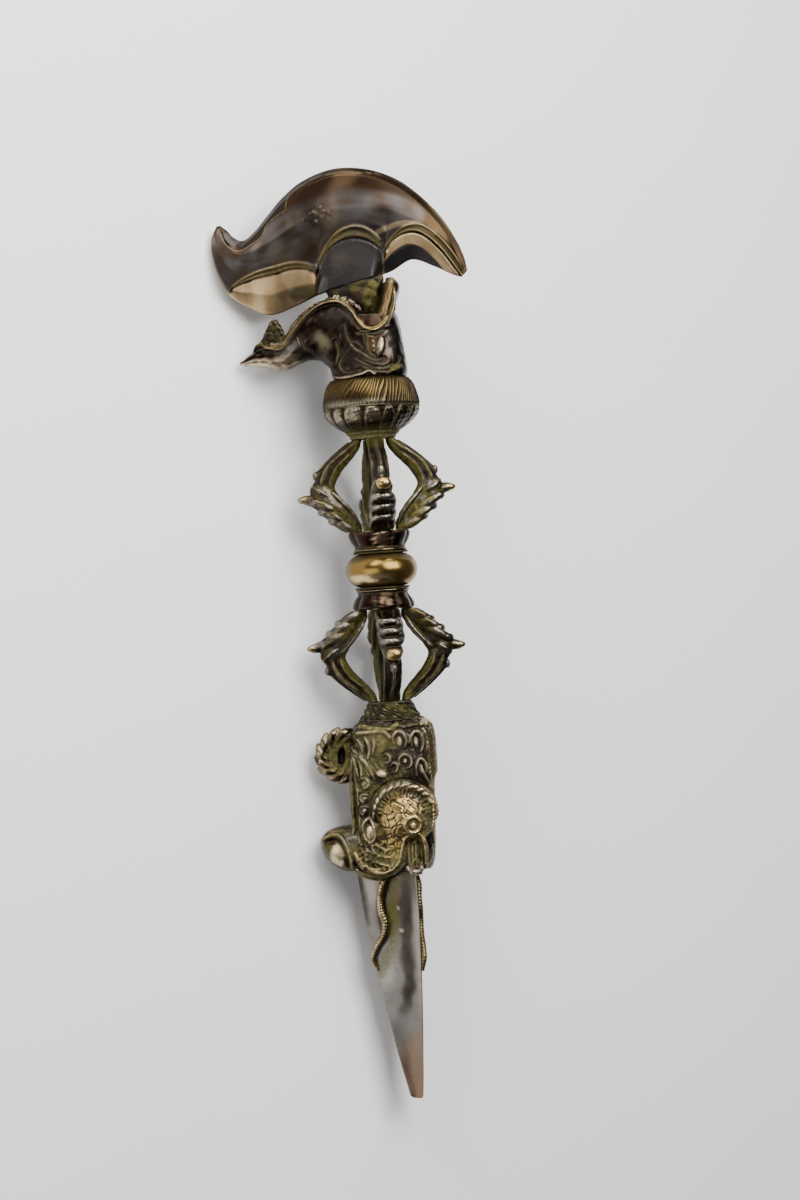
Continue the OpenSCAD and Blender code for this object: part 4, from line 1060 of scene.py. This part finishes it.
def prong_body():
    outer = [7.6, 10.2, 12.6, 14.8, 16.6, 17.9, 17.9, 16.4, 15, 13.2, 11, 8.6, 5.9]
    inner = [4.6, 4.7, 5.8, 7.4, 8.9, 10.3, 11.2, 10.4, 9, 7.2, 5.2, 3.8, 3.3]
    share = [.5, .5, .5, .5, .45, .3, .1, 0, 0, 0, 0, .1, .2]
    table = spline(np.stack([outer, inner, share], 1), 90)
    f = np.linspace(0, 1, 90)
    rings = []
    for (out, into, part), s in zip(table, f):
        ring = oval((out - into) / 2, (4.4 + 2.6 * part) / 2, 32, 0.85)
        level = np.full(32, FIT + (CAGE - 2 * FIT) * s)
        rings.append(np.stack([(out + into) / 2 + ring[:, 0], level, ring[:, 1]], 1))
    return skin(rings)


ROLLS = ((17.0, 8.6), (14.9, 5.9), (12.2, 3.3))
ARM_LINES = (((15.4, 11.6), (14.7, 14.6), (12.6, 18.2), (9.0, 21.2), (5.4, 24.0)),
             ((12.9, 11.6), (12.5, 14.2), (10.7, 17.6), (7.6, 20.4), (4.8, 23.2)))


def prong_parts(nose, knob):
    parts = [prong_body()]
    # Bands over the outer edge of the head and the long feathers that sweep back from them
    for r, s in ROLLS:
        parts.append(tube([(r - 2.0, s - 0.7, -2.9), (r - 0.3, s, -2.0), (r + 0.3, s + 0.1, 0),
                           (r - 0.3, s, 2.0), (r - 2.0, s - 0.7, 2.9)], [0.5, 1.1, 1.2, 1.1, 0.5], 16, 60))
        for w in (-2.5, 2.5):
            parts.append(tube([(r - 7.0, s - 3.4, w * 0.8), (r - 4.4, s - 2.3, w * 1.06),
                               (r - 1.8, s - 0.8, w * 1.02), (r + 0.6, s + 0.2, w * 0.62)],
                              [0.35, 1.2, 1.25, 0.6], 14, 50, flat=0.8))
    for w in (-1, 1):
        # Rim along the inner edge of the head, spur behind the cheek and ridges along the arm
        parts.append(tube([(5.4, 1.8, w * 2.1), (6.6, 4.4, w * 2.4), (9.0, 7.6, w * 2.6),
                           (12.2, 11.0, w * 2.3)], [0.4, 0.6, 0.6, 0.4], 10, 50))
        parts.append(tube([(13.2, 9.9, w * 2.2), (15.6, 11.4, w * 2.1), (17.4, 13.0, w * 1.3)],
                          [0.5, 0.8, 0.3], 10, 24))
        for path, wide in zip(ARM_LINES, (0.5, 0.45)):
            ridge = np.column_stack([path, w * np.array([1.8, 1.95, 1.95, 1.85, 1.5])])
            parts.append(tube(ridge, [0.35, wide, wide, wide, 0.3], 10, 60))
    # Nose with its knob, the bead above it and the spine of the arm
    parts.append(tube([(14.6, nose - 1.6, 0), (17.2, nose - 0.5, 0), (19.4, nose, 0), (20.6, nose, 0)],
                      [2.0, 1.6, 1.3, 0.8], 16, 40))
    parts.append(ball((21.6 - knob[0], nose, 0), knob, 20))
    parts.append(ball((16.2, 15.7, 0), (0.9, 1.3, 0.95), 18))
    parts.append(tube([(15.6, 16.6, 0.1), (13.9, 18.4, 0.2), (11.8, 20.3, 0.1), (9.3, 22.3, -0.2),
                       (6.6, 24.2, -0.1)], [0.45, 0.4, 0.35, 0.35, 0.3], 10, 60))
    # Tenons at both ends
    for radial, low, high in ((6.2, -1.2, 1.0), (4.5, CAGE - 1.0, CAGE + 1.2)):
        ring = oval(0.9, 0.9, 16)
        parts.append(skin([np.stack([radial + ring[:, 0], np.full(16, s), ring[:, 1]], 1)
                           for s in np.linspace(low, high, 6)]))
    return parts


def prong_shape(nose, knob, gilt):
    points, normals, faces = fused(prong_parts(nose, knob), 0.19, 1)
    r, s, w = points.T
    within = (s > FIT) & (s < CAGE - FIT)
    points[:, 1] = np.where(within | (np.abs(w) < 1.1), s, np.clip(s, FIT, CAGE - FIT))
    head = smooth(13.8 - s, 0, 1.5)
    arm = 1 - head
    flank = smooth(np.abs(normals[:, 2]), 0.4, 0.8)
    face = smooth(normals[:, 0] - 0.3 * np.abs(normals[:, 1]), 0.2, 0.7)
    on_ridge = np.zeros(len(r))
    for path in ARM_LINES:
        line = np.interp(s, [p[1] for p in path], [p[0] for p in path])
        on_ridge = np.maximum(on_ridge, smooth(0.5 - np.abs(r - line), 0, 0.3))
    on_roll = np.zeros(len(r))
    for out, station in ROLLS:
        band = smooth(1.0 - np.abs(s - station), 0, 0.6) * smooth(r, out - 0.4, out + 0.6)
        on_roll = np.maximum(on_roll, band)
    tip = smooth(r, 18.6, 19.6)
    spine = smooth(0.45 - np.abs(w), 0, 0.3) * arm * face
    patchy = smooth(noise(points, 3.2, 12), -0.6, 0.5)
    bead = smooth(1.5 - np.abs(s - 15.7), 0, 0.5) * smooth(r, 15.8, 16.4)
    cheeks, sides = head * flank, arm * flank
    worn = 0.22 * on_roll * patchy + (0.1 - 0.05 * gilt) * tip
    worn += 0.12 * cheeks * smooth(np.abs(w), 2.9, 3.4)
    worn += 0.3 * spine * smooth(20 - s, 0, 4) + 0.06 * sides * on_ridge
    green = 0.75 * smooth(-normals[:, 0], 0.0, 0.6) + 0.45 * sides * (r < line) + 0.35 * sides * on_ridge
    green += 0.5 * smooth(s, 21, 24) + 0.35 * smooth(1.6 - s, 0, 1.2) + 0.35 * cheeks * (1 - patchy)
    marks = {"worn": worn,
             "gold": (0.35 + 0.65 * gilt) * tip,
             "steel": 0.7 * on_roll + 0.9 * bead + 0.5 * cheeks * patchy,
             "green": green - tip - on_roll,
             "deep": 0.9 * arm * face * (1 - spine) + 0.5 * sides * (1 - on_ridge) - 0.8 * tip}
    points = points + normals * (0.04 * noise(points, 2, 7))[:, None]
    return points, faces, marks


def prongs():
    slender, wide = (1.6, 1.0, 1.3), (1.3, 1.7, 2.1)
    shapes = (prong_shape(10.8, slender, 0.3), prong_shape(9.4, slender, 0.1), prong_shape(12.0, wide, 1.0))
    for cage, flip in (("upper", 1), ("lower", -1)):
        for k, (side, kind) in enumerate((("right", 0), ("rear", 0), ("left", 1), ("front", 2))):
            points, faces, marks = shapes[kind]
            a = CAGE_TURN + k * TAU / 4
            radial, aside = points[:, 0], points[:, 2]
            x = radial * math.cos(a) - aside * math.sin(a)
            z = -radial * math.sin(a) - aside * math.cos(a)
            y = flip * (HUB_FACE + points[:, 1])
            if flip > 0:
                faces = reversed_faces(faces)
            strength = 0.85 + 0.2 * math.sin(2.1 * k + flip)
            layers = {name: values * strength for name, values in marks.items()}
            piece(f"{cage}_prong_{side}", "prong_bronze", np.stack([x, y, z], 1), faces, layers, crisp=0.7)


# Finial head

def finial_parts():
    h = HEAD_SEAT
    neck = lofted([[0, -9.6, 9.9, 1.1], [1.6, -10, 10.5, 1.12], [5, -10.6, 10.3, 1.04], [9, -11, 9.8, 1],
                   [13.5, -10.5, 9.3, .98], [17, -9, 8.6, .88]], 36, 56, 0.85, base=(0, h), thick=8.6)
    snout = lofted([[-2, 6, 17.4, .86], [1, 4, 19.4, .94], [4, 3, 21.8, .97], [7, 3, 23, .95],
                    [10, 3.4, 22.5, .88], [13, 5.8, 21.4, .78], [16, 6, 19.8, .7], [19, 5, 17.4, .62],
                    [22, 3.8, 13.2, .54], [25, 3.7, 11, .45], [28, 4.9, 9.9, .35], [31, 5.4, 9, .26],
                    [33.5, 5.6, 7.3, .16], [34.7, 5.9, 6.7, .08]], 90, 44, 0.85, side_on=True, base=(h, 0),
                   sense=-1, thick=8.6)
    jaw = lofted([[13, -1, 9.3, .9], [16.5, 1, 8.6, .84], [18.4, 2.8, 7.9, .76], [20.5, 3.6, 8.6, .68],
                  [23.4, 4.3, 9.7, .58], [25.4, 5, 9.6, .46], [27, 6.4, 8.2, .28]], 50, 36, 0.85,
                 base=(0, h), thick=8.6)
    fang = spline([(-30.2, 8), (-30.6, 10.4), (-28.6, 12.2), (-27, 15.4), (-24.7, 18.4), (-22.8, 16),
                   (-21.6, 12.8), (-21.4, 8)], 40, closed=True)
    middle = fang.mean(0)
    rings = [[(*(middle + (p - middle) * size), z) for p in fang]
             for z, size in ((-1.3, 0.75), (-1.0, 0.95), (0, 1), (1.0, 0.95), (1.3, 0.75))]
    points, faces = skin(rings)
    parts = [neck, snout, jaw, (points + [0, h, 0], faces)]
    # Cord of the lip down each side
    for side in (1, -1):
        lip = [(-27.5, 61.4, 3.2), (-23, 62, 4.0), (-19.5, 65.6, 4.9), (-16, 69.4, 5.4), (-12.5, 71.8, 6.0),
               (-9, 72.6, 6.6), (-6.5, 72, 7.2), (-4, 69.8, 7.8), (-2, 67, 8.0), (0, 64.9, 8.1),
               (2.2, 64.1, 7.9), (4.4, 64.6, 7.4), (6.2, 66.4, 6.7), (7.3, 68.8, 5.9), (8.0, 72, 4.9),
               (8.1, 75.6, 4.0)]
        cord = [(x, y, side * (z - 0.1)) for x, y, z in lip]
        parts.append(tube(cord, [0.4] + [0.55] * 14 + [0.4], 12, 200))
    return parts


def finial_relief(points, normals):
    side = sided(normals)
    r = Relief(points, side)
    x, y, z = points.T
    # Lip: a sharp line, a brown band and the crumbling ridge above it
    lip = [(-27.4, 61.6), (-24.3, 60.9), (-22.2, 61.6), (-20, 64.5), (-17.8, 67.1), (-15.6, 69.3),
           (-12.7, 71.5), (-10, 72.4), (-7.3, 72.5), (-5.3, 71.6), (-3.5, 69.8), (-2.5, 67.9), (-1.4, 66),
           (0.2, 64.5), (2, 64.1), (3.9, 64.8), (5.6, 66.3), (6.9, 68.3), (7.9, 71.2), (8.4, 74.5)]
    r.line([(a - 0.5, b - 0.9) for a, b in lip], 0.4, -0.35, deep=0.8)
    r.line(lip, 0.28, 0.2, gold=0.45, worn=0.05)
    r.line([(a - 0.2, b + 0.75) for a, b in lip], 0.45, -0.15, gold=0.25, green=0.2)
    ridge = [(-25.8, 62.5), (-23.5, 62.4), (-20.9, 65.6), (-18.3, 68.5), (-16.2, 70.4), (-14.7, 72),
             (-12.6, 73.2), (-10.5, 74.1), (-7.5, 73.9), (-6.1, 74.3), (-4.2, 73), (-2.2, 71.8),
             (-0.6, 70.4), (1, 69.3)]
    r.line(ridge, 0.4, 0.2, worn=0.5, twist=1.3)
    # Cheek: crossing strokes over dark red hollows
    r.bump((-3.4, 57.4), (4.2, 4.0), -0.25, deep=0.45)
    r.bump((-6.0, 63.2), (1.2, 3.6), -0.3, turn=8, deep=0.6)
    r.strokes(((0.5, [(-8.3, 61.4), (-7.8, 58.7), (-8.7, 55.7)]),
               (0.42, [(-4.7, 59.5), (-6.9, 56.9), (-7.7, 55.3), (-6.8, 53.5), (-4.5, 53.0),
                       (-2.1, 53.6)]),
               (0.55, [(-5.7, 66.0), (-5.5, 63.6), (-4.6, 61.2), (-3.4, 59.4), (-0.8, 57.5),
                       (1.5, 56.0), (4.5, 56.2)]),
               (0.35, [(-2.1, 63.7), (0.3, 63.9)]),
               (0.5, [(0.0, 63.6), (0.1, 60.9), (0.4, 58.2), (2.0, 56.9)]),
               (0.4, [(0.3, 63.2), (3.0, 63.0), (4.7, 64.0)]),
               (0.35, [(-3.6, 56.9), (-1.6, 55.4), (1.0, 54.2)]),
               (0.35, [(-4.9, 61.6), (-2.8, 61.0), (-1.2, 59.4)]),
               (0.35, [(-18, 63.7), (-16.8, 60.6), (-15.2, 59.5)]),
               (0.5, [(5.0, 53.4), (7.8, 54.6), (9.0, 56.6)]),
               (0.5, [(1.5, 54.0), (4.2, 53.6), (6.4, 54.6)])),
              0.4, -0.35, 0.75, 0.45, share=0.75, green=0.45, gold=0.1)
    r.marks["green"] *= 0.3 + 0.7 * smooth(noise(points, 2.6, 78), -0.6, 0.6)
    r.line([(-9.6, 52.9), (-8.0, 52.1), (-5.3, 52.0), (-1.8, 52.5), (0.3, 53.1), (1.5, 52.2)], 0.4, 0.5,
           worn=0.4, green=0.3)
    pebbly = (smooth(1.1 - np.abs(x - 1.0 - 0.15 * (61 - y)), 0, 0.5) * smooth(y, 57.5, 59)
              * smooth(64 - y, 0, 1) * side)
    r.up = np.maximum(r.up, 0.2 * pebbly * np.abs(np.sin(2.4 * y) * np.sin(3 * x)))
    r.mark(gold=0.1 * pebbly)
    r.bump((3.6, 59.6), (1.1, 2.7), 0.7, turn=-14, worn=0.6)
    # A painted highlight down the column right of the cheek
    column_highlight = smooth(x, 4.4, 5.4) * smooth(8.6 - x, 0, 1.2) * smooth(y, 56, 58) * smooth(66 - y, 0, 3) * side
    r.mark(steel=0.5 * column_highlight)
    r.bump((7.4, 53.8), (1.8, 0.9), 0.2, turn=20, green=0.8)
    # Mouth: a hollow above the ridge, with painted shade and green in it
    top = smooth(normals[:, 1], 0.5, 0.8) * (x < 6) * (x > -26)
    shaded_hollow = smooth(3.2 - np.abs(z), 0, 1.5) * top
    r.down = np.minimum(r.down, -0.5 * shaded_hollow)
    both = smooth(1.6 - np.abs(np.abs(z) - 4.2), 0, 1)
    crumbs = smooth(noise(points, 0.9, 51), -0.2, 0.4) * both * top * (x < -1)
    r.up = np.maximum(r.up, 0.7 * crumbs)
    r.mark(worn=0.3 * crumbs, green=0.6 * shaded_hollow, deep=0.8 * shaded_hollow)
    # Rubbed underside of the snout, crusts in its bend and on the fang
    under = smooth(-normals[:, 1], -0.1, 0.55) * smooth(-x, 17, 20) * smooth(HEAD_SEAT + 8.2 - y, 0, 1)
    r.mark(worn=0.9 * under)
    crust = smooth(1 - np.hypot((x + 12 + 0.3 * (y - 62)) / 2.6, (y - 62) / 4.2), 0, 0.9) * side
    r.mark(green=0.5 * crust * smooth(noise(points, 5, 13), -0.8, 0.6), steel=0.6 * crust)
    thin = (np.abs(z) < 1.6) & (y > HEAD_SEAT + 10.5) & (x < -21)
    rough = smooth(noise(points, 1.1, 27), -0.5, 0.6)
    r.mark(green=0.45 * thin * rough, deep=0.8 * thin * (1 - 0.6 * rough))
    r.down -= 0.15 * thin * (1 - rough)
    r.mark(deep=0.6 * r.spot((-8, 68), (7, 4), 0.6) * side)
    # A painted sheen on the side of the skull
    sheen = r.spot((-20, 60), (6.5, 4.5), 0.8) * side
    r.mark(steel=0.6 * sheen)
    jaw = smooth(x, 2, 4) * smooth(y, 67, 70)
    r.mark(gold=0.1 * jaw, worn=0.8 * smooth(y, 76.6, 78) * (x > 4))
    return r


def finial_head():
    points, normals, faces = fused(finial_parts(), 0.26)
    r = finial_relief(points, normals)
    points = r.carved(points, normals, 0.05 * noise(points, 3, 29))
    piece("finial_head", "finial_bronze", points, faces, r.marks, crisp=0.6)


# Crescent

RIM = [[-37.6, 95.6], [-35.7, 94], [-34, 92], [-31.5, 91.1], [-28.5, 93.2], [-25, 97], [-20.5, 101.8],
       [-14.5, 106.2], [-6, 108.9], [3, 108.2], [11, 104.9], [18, 99], [23.5, 92], [27.3, 84], [28.3, 79.2]]
EDGE = [[-38.6, 95.3], [-40.2, 92], [-40.4, 87.6], [-39, 81.5], [-36.2, 76.4], [-31, 73], [-25.5, 70.6],
        [-18.5, 72.6], [-11, 75.6], [-1, 78], [7.5, 80.2], [13.5, 83.1], [19.3, 81], [23.8, 78.6],
        [26.6, 77.5]]
CUSPS = (4, 7.75, 9.75, 14)
LOBES = ((0.95, 0.85, 0.25), (0.85, 0.82, 0.24), (0.82, 0.9, 0.31))
CRESCENT_HALF = 4.3


def scallop(u):
    """The scalloped line as a share of the way from the rim to the edge."""
    line = np.full_like(u, LOBES[0][0])
    for start, end, (a, b, rise) in zip(CUSPS, CUSPS[1:], LOBES):
        t = np.clip((u - start) / (end - start), 0, 1)
        arch = np.clip(np.sin(math.pi * t**0.8), 0, 1)**0.6
        line = np.where(u >= start, a + (b - a) * t - rise * arch, line)
    return line


def crescent():
    steps, across = 360, 90
    u = np.linspace(0, len(RIM) - 1, steps)
    rim, edge = spline(RIM, steps), spline(EDGE, steps)
    length = np.linalg.norm(edge - rim, axis=1)
    half = CRESCENT_HALF * np.maximum(0.13, np.clip(np.sin(math.pi * u / u[-1]), 0, 1)**0.85)
    line = scallop(u)
    v = np.linspace(0, 1, across)
    rings = []
    for i in range(steps):
        h, fold = half[i], line[i]
        step = min(0.8, 0.35 * h)
        bevel = min(0.3, 2.2 / length[i])
        knots = [0, bevel, 0.35, 0.6 * fold + 0.1, fold - 0.015, fold + 0.015, (fold + 1) / 2, 1]
        full = 0.45 * smooth(u[i], CUSPS[1], CUSPS[1] + 0.4) * smooth(CUSPS[2] - u[i], 0, 0.4)
        levels = [0.12 * h, 0.62 * h, 0.93 * h, h, 0.94 * h, 0.94 * h - step, (0.8 + 0.2 * full) * h - step,
                  (0.2 + full) * h]
        height = np.interp(v, knots, levels)
        flat = rim[i] + (edge[i] - rim[i]) * v[:, None]
        front = np.column_stack([flat, height])
        rings.append(np.vstack([front, (front * [1, 1, -1])[::-1]]))
    plate = skin(rings)
    neck = lofted([[68.2, -8.6, 4, 2.2], [71.2, -8.9, 4.1, 2.8], [74.2, -9.6, 4.5, 3.1],
                   [77.2, -10.6, 5.4, 2.9], [79.0, -10.2, 5.6, 2.2], [80.6, -8.6, 4.4, 1.4],
                   [82, -6, 2.4, 0.8]], 80, 72, 0.7)
    tang = slab(-8.6, 4, 2.2, np.linspace(HEAD_SEAT + 9.6, 78.4, 14))
    points, normals, faces = with_normals(joined([plate, neck, tang]))
    body = np.arange(len(points)) < len(plate[0])
    side = smooth(np.abs(normals[:, 2]), 0.35, 0.75) * body
    r = Relief(points, side)
    x, y, z = points.T
    rest = np.zeros(len(points) - steps * across * 2)
    share = np.append(np.tile(np.append(v, v[::-1]), steps), rest)
    place = np.append(np.repeat(u, 2 * across), rest)
    size = np.append(np.repeat(length, 2 * across), rest + 1)
    below = (share - np.interp(place, u, line)) * size * body
    panel = smooth(below, 0.2, 0.7) * (place > 4)
    middle = smooth(place, CUSPS[1] - 0.1, CUSPS[1] + 0.1) * smooth(CUSPS[2] + 0.08 - place, 0, 0.16)
    # Each lobe is framed by a sharp line and, further out, a soft one with an olive channel between them
    for start, end, gap in zip(CUSPS, CUSPS[1:], (1.0, 2.1, 1.6)):
        part = (u >= start + 0.02) & (u <= end - 0.02)
        swell = np.sin(math.pi * np.clip((u - start) / (end - start), 0, 1))**0.7
        for shift, width, height, marks in ((-0.5 - gap * swell, 0.45, 0.3, {"gold": 0.3, "green": 0.25}),
                                            (-0.2 - gap * swell / 2, 0.3 + gap / 3, -0.3,
                                             {"deep": 0.5, "green": 0.4}),
                                            (-0.15, 0.28, 0.2, {"gold": 0.8}),
                                            (0.35, 0.3, -0.35, {"deep": 1})):
            path = (rim + (edge - rim) * (line + shift / length)[:, None])[part]
            r.line(path[::5], width, height, **marks)
    # Fine line of the bevel, with its step at the shoulder
    low_line = [(-38.2, 94.6), (-37.7, 93.5), (-37.0, 91.2), (-34.9, 88.8), (-32.2, 88.1), (-29.4, 89.6),
                (-26.6, 91.4), (-25.0, 94.3), (-23.1, 96.1), (-20.3, 97.7), (-19.1, 98.3)]
    high_line = [(-19.5, 98.9), (-19.1, 100.9), (-17.3, 103.0), (-13.5, 105.4), (-9.8, 106.9),
                 (-3.9, 107.5), (2.8, 107.1), (7.3, 106.3), (12.5, 103.4), (17.2, 99.7), (21.4, 94.5),
                 (24.3, 90.2), (27.0, 85)]
    r.line(low_line, 0.17, 0.13, gold=0.35, green=0.2)
    r.line(high_line[:7], 0.17, 0.13, gold=0.4, green=0.2)
    r.line(high_line[5:], 0.17, 0.12, gold=0.3, green=0.15)
    r.mark(deep=0.3 * smooth(1 - np.hypot(x + 19.3, y - 98.6) / 1.6, 0, 1) * side)
    # Painted sheen along the arc over a grey tone across the middle; the brown turns golden towards the rim
    # and the point
    sheen = Relief(points, side)
    sheen.line([(-5, 99.6), (0, 99.2), (5, 98.2), (10, 96.6), (14, 94.6)], 4.6, 1, steel=1.0)
    sheen.line([(-37, 83), (-33, 85), (-27, 87), (-21, 88), (-16, 86.6), (-14, 84.4)], 4.4, 1, steel=0.85)
    sheen.line([(-25, 91), (-19, 93.6), (-12, 96), (-6, 97.6)], 6.0, 1, steel=0.55)
    sheen.line([(-36.2, 92.6), (-34.4, 90.6), (-32.2, 90.2)], 1.3, 1, steel=0.8)
    streaks = noise(np.stack([place * 1.6, share * 9, 0 * share], 1), 2.2, 31)
    brushed = noise(np.stack([place * 1.1, share * 34, 0 * share], 1), 2.2, 32)
    calm = 0.75 + 0.25 * noise(points, 9, 31) + 0.3 * streaks + 0.16 * brushed
    cover = 0.42 * smooth(share + 0.05 * streaks, 0.12, 0.42) * smooth(17 - x, 0, 9) * body
    steel = np.maximum(sheen.marks["steel"], cover) * calm
    hue = Relief(points, side)
    hue.line([(-5, 94.8), (1, 94), (8, 94.2), (15, 92)], 1.7, -1, deep=0.5)
    hue.line([(-17.6, 97), (-15.6, 93.6), (-11.7, 91.4)], 1.9, -1, deep=0.5)
    hue.line([(5, 90.8), (10, 92.4), (15, 92.3), (20, 89.6)], 1.2, 1, worn=0.3, gold=0.25)
    hue.line([(-38.2, 76), (-35, 79.4), (-33, 82)], 2.4, -1, deep=0.35)
    r.mark(steel=steel * (1 - panel))
    for name in ("deep", "worn", "gold"):
        tint = hue.marks[name]
        r.mark(**{name: smooth(tint, 0, 0.5) * tint * (1 - panel)})
    amber = np.maximum(smooth(x - 0.5 * (108 - y), 2, 14) * smooth(share, 0.75, 0.25),
                       0.2 * smooth(-x, 37.5, 40.5))
    r.mark(gold=0.06 * amber * (1 - panel) * side)
    rusty = smooth(noise(points, 11, 33) + 0.7 * streaks, 0.0, 1.2) * (1 - panel) * side
    r.mark(gold=0.06 * rusty)
    # Panels: cream at both sides, steel in the middle
    dulled = r.spot((-16.6, 75.4), (5.2, 2.7), 0.45)
    cream = panel * (1 - middle) * (1 - 0.9 * dulled)
    under = smooth(below, 3.1, 3.7) * (place > CUSPS[2]) * body
    r.mark(gold=cream * (1 - under) * smooth(below, 0.5, 0.9))
    r.mark(worn=0.45 * cream * (1 - under) * smooth(noise(points, 4, 14), -0.6, 0.6))
    r.mark(steel=panel * np.maximum(middle * 0.75, 0.5 * dulled * (place < CUSPS[1])))
    r.mark(steel=0.9 * under * panel, green=0.35 * dulled * panel * (place < CUSPS[1]))
    # A painted highlight on the left of the middle panel; painted shade on its right and in its lower
    # corner by the neck
    panel_highlight = smooth(1 - np.hypot((x + 5.6 + 0.5 * noise(points, 3, 62)) / 4.6, (y - 84.5) / 4.2), 0, 1)
    r.mark(steel=panel * middle * panel_highlight, worn=0.05 * panel * middle * panel_highlight)
    panel_shade = r.spot((0.2, 85), (4.6, 3.4), 0.8) * panel * middle
    corner_shade = r.spot((-8.4, 80.9), (3.2, 2.0), 0.35) * panel * middle
    r.mark(deep=np.maximum(0.5 * panel_shade, 0.8 * corner_shade))
    r.mark(worn=0.8 * smooth(share, 0.965, 0.99) * smooth(-x, 14, 20) * body)
    ragged = 1 - np.hypot((x + 11) / 4.8, (y - 96.4) / 2.8) + 0.5 * noise(points, 1.3, 16)
    pitted = smooth(ragged, 0.1, 0.8) * side
    crumbly = pitted * smooth(noise(points, 0.8, 6), 0.1, 0.7)
    r.mark(steel=crumbly, worn=0.05 * crumbly)
    # Painted shade on the bevel outside the line on the left, which faces away from the light, and along
    # the rim; the neck is darkened with painted shade and crust
    rim_left = [p for p in RIM if p[0] < -5][::-1]
    bevel = inside(points[:, :2], np.array(low_line[2:] + high_line[:6] + rim_left)) * body
    r.mark(deep=0.7 * bevel * smooth(x, -33, -31))
    r.marks["steel"] *= 1 - 0.85 * bevel * smooth(x, -32, -30)
    outer = smooth(0.2 - share, 0, 0.1) * np.maximum(smooth(x, 2, 12), smooth(-x, 33, 36)) * side
    r.mark(deep=0.45 * outer * (0.7 + 0.3 * streaks))
    stem = (~body).astype(float)
    crusty = smooth(noise(points, 4.5, 40), -0.7, 0.9)
    r.mark(deep=(0.6 + 0.35 * smooth(-x, 3, 8)) * stem * (1 - 0.5 * crusty), green=0.45 * stem * crusty)
    spot = r.spot((2.7, 76.9), (1.9, 1.9), 0.6)
    r.mark(green=0.9 * spot * stem, steel=0.4 * stem * smooth(y, 77.5, 80) * (1 - spot))
    lumps = 0.25 * noise(points, 3.2, 41) * stem * smooth(np.abs(normals[:, 2]), 0.3, 0.8)
    wave = (0.12 * noise(points, 17, 21) * body + 0.05 * noise(points, 0.9, 22) * pitted + lumps
            - 0.15 * stem)
    points = r.carved(points, normals) + np.outer(wave * np.sign(z), [0, 0, 1])
    piece("crescent", "crescent_bronze", points, faces, r.marks, crisp=0.3)


blade()
for name, face in (("serpent_front", 1), ("serpent_rear", 2), ("serpent_back", 0)):
    serpent(name, face)
guard_head()
guard_crest()
guard_rivet()
core_rod()
lower_crown()
prongs()
hub("lower_hub", True)
hub("upper_hub", False)
washer("lower_washer", True)
washer("upper_washer", False)
centre_ring()
upper_crown()
lotus_cup()
mane_ring()
finial_head()
crescent()

# Stage: a plain pale floor, soft lamps and a camera square to the flat of both heads


def plain(name, colour, rough):
    s = Shader(name)
    s.set("Base Color", s.mix(s.noise(60, 2), colour, tuple(c * 0.97 for c in colour)))
    s.set("Roughness", rough)
    return s.material


def lamp(name, position, target, size, power):
    data = bpy.data.lights.new(name, "AREA")
    data.shape = "RECTANGLE"
    data.size, data.size_y = size
    data.energy = power
    start, end = (LAY @ Vector(point) for point in (position, target))
    aim = (start - end).to_track_quat("Z", "Y").to_matrix().to_4x4()
    linked(name, data).matrix_world = Matrix.Translation(start) @ aim


FLOOR = 1.6
floor_mesh = bpy.data.meshes.new("floor")
floor_mesh.from_pydata([(-FLOOR, -FLOOR, 0), (FLOOR, -FLOOR, 0), (FLOOR, FLOOR, 0), (-FLOOR, FLOOR, 0)], [],
                       [(0, 1, 2, 3)])
floor_mesh.materials.append(plain("floor", (0.78, 0.775, 0.765), 0.9))
floor = linked("floor", floor_mesh)

lamp("key", (330, 330, 480), (0, -10, 0), (0.5, 0.5), 10)
lamp("fill", (-420, -60, 420), (0, -10, 0), (0.35, 0.8), 3.4)
lamp("top", (-40, 460, 260), (0, 0, 0), (0.6, 0.2), 4)

world = bpy.data.worlds.new("studio")
bpy.context.scene.world = world
world.use_nodes = True
sky = world.node_tree.nodes["Background"]
sky.inputs["Color"].default_value = (0.8, 0.8, 0.8, 1)
sky.inputs["Strength"].default_value = 0.2

SENSOR = 36
VIEW_HEIGHT = 324
DISTANCE = 800
VIEW_CENTRE = (4.47, -8.40)
LEAN = math.radians(3.6578)  # how far the handle leans in the photo
camera_data = bpy.data.cameras.new("camera")
camera_data.sensor_fit = "VERTICAL"
camera_data.sensor_height = SENSOR
camera_data.lens = SENSOR * DISTANCE / VIEW_HEIGHT
camera_data.clip_end = 10
camera = linked("camera", camera_data)
turn = LAY.to_3x3().normalized().to_4x4()
camera.matrix_world = (Matrix.Translation(LAY @ Vector((*VIEW_CENTRE, DISTANCE))) @ turn
                       @ Matrix.Rotation(-LEAN, 4, "Z"))
bpy.context.scene.camera = camera
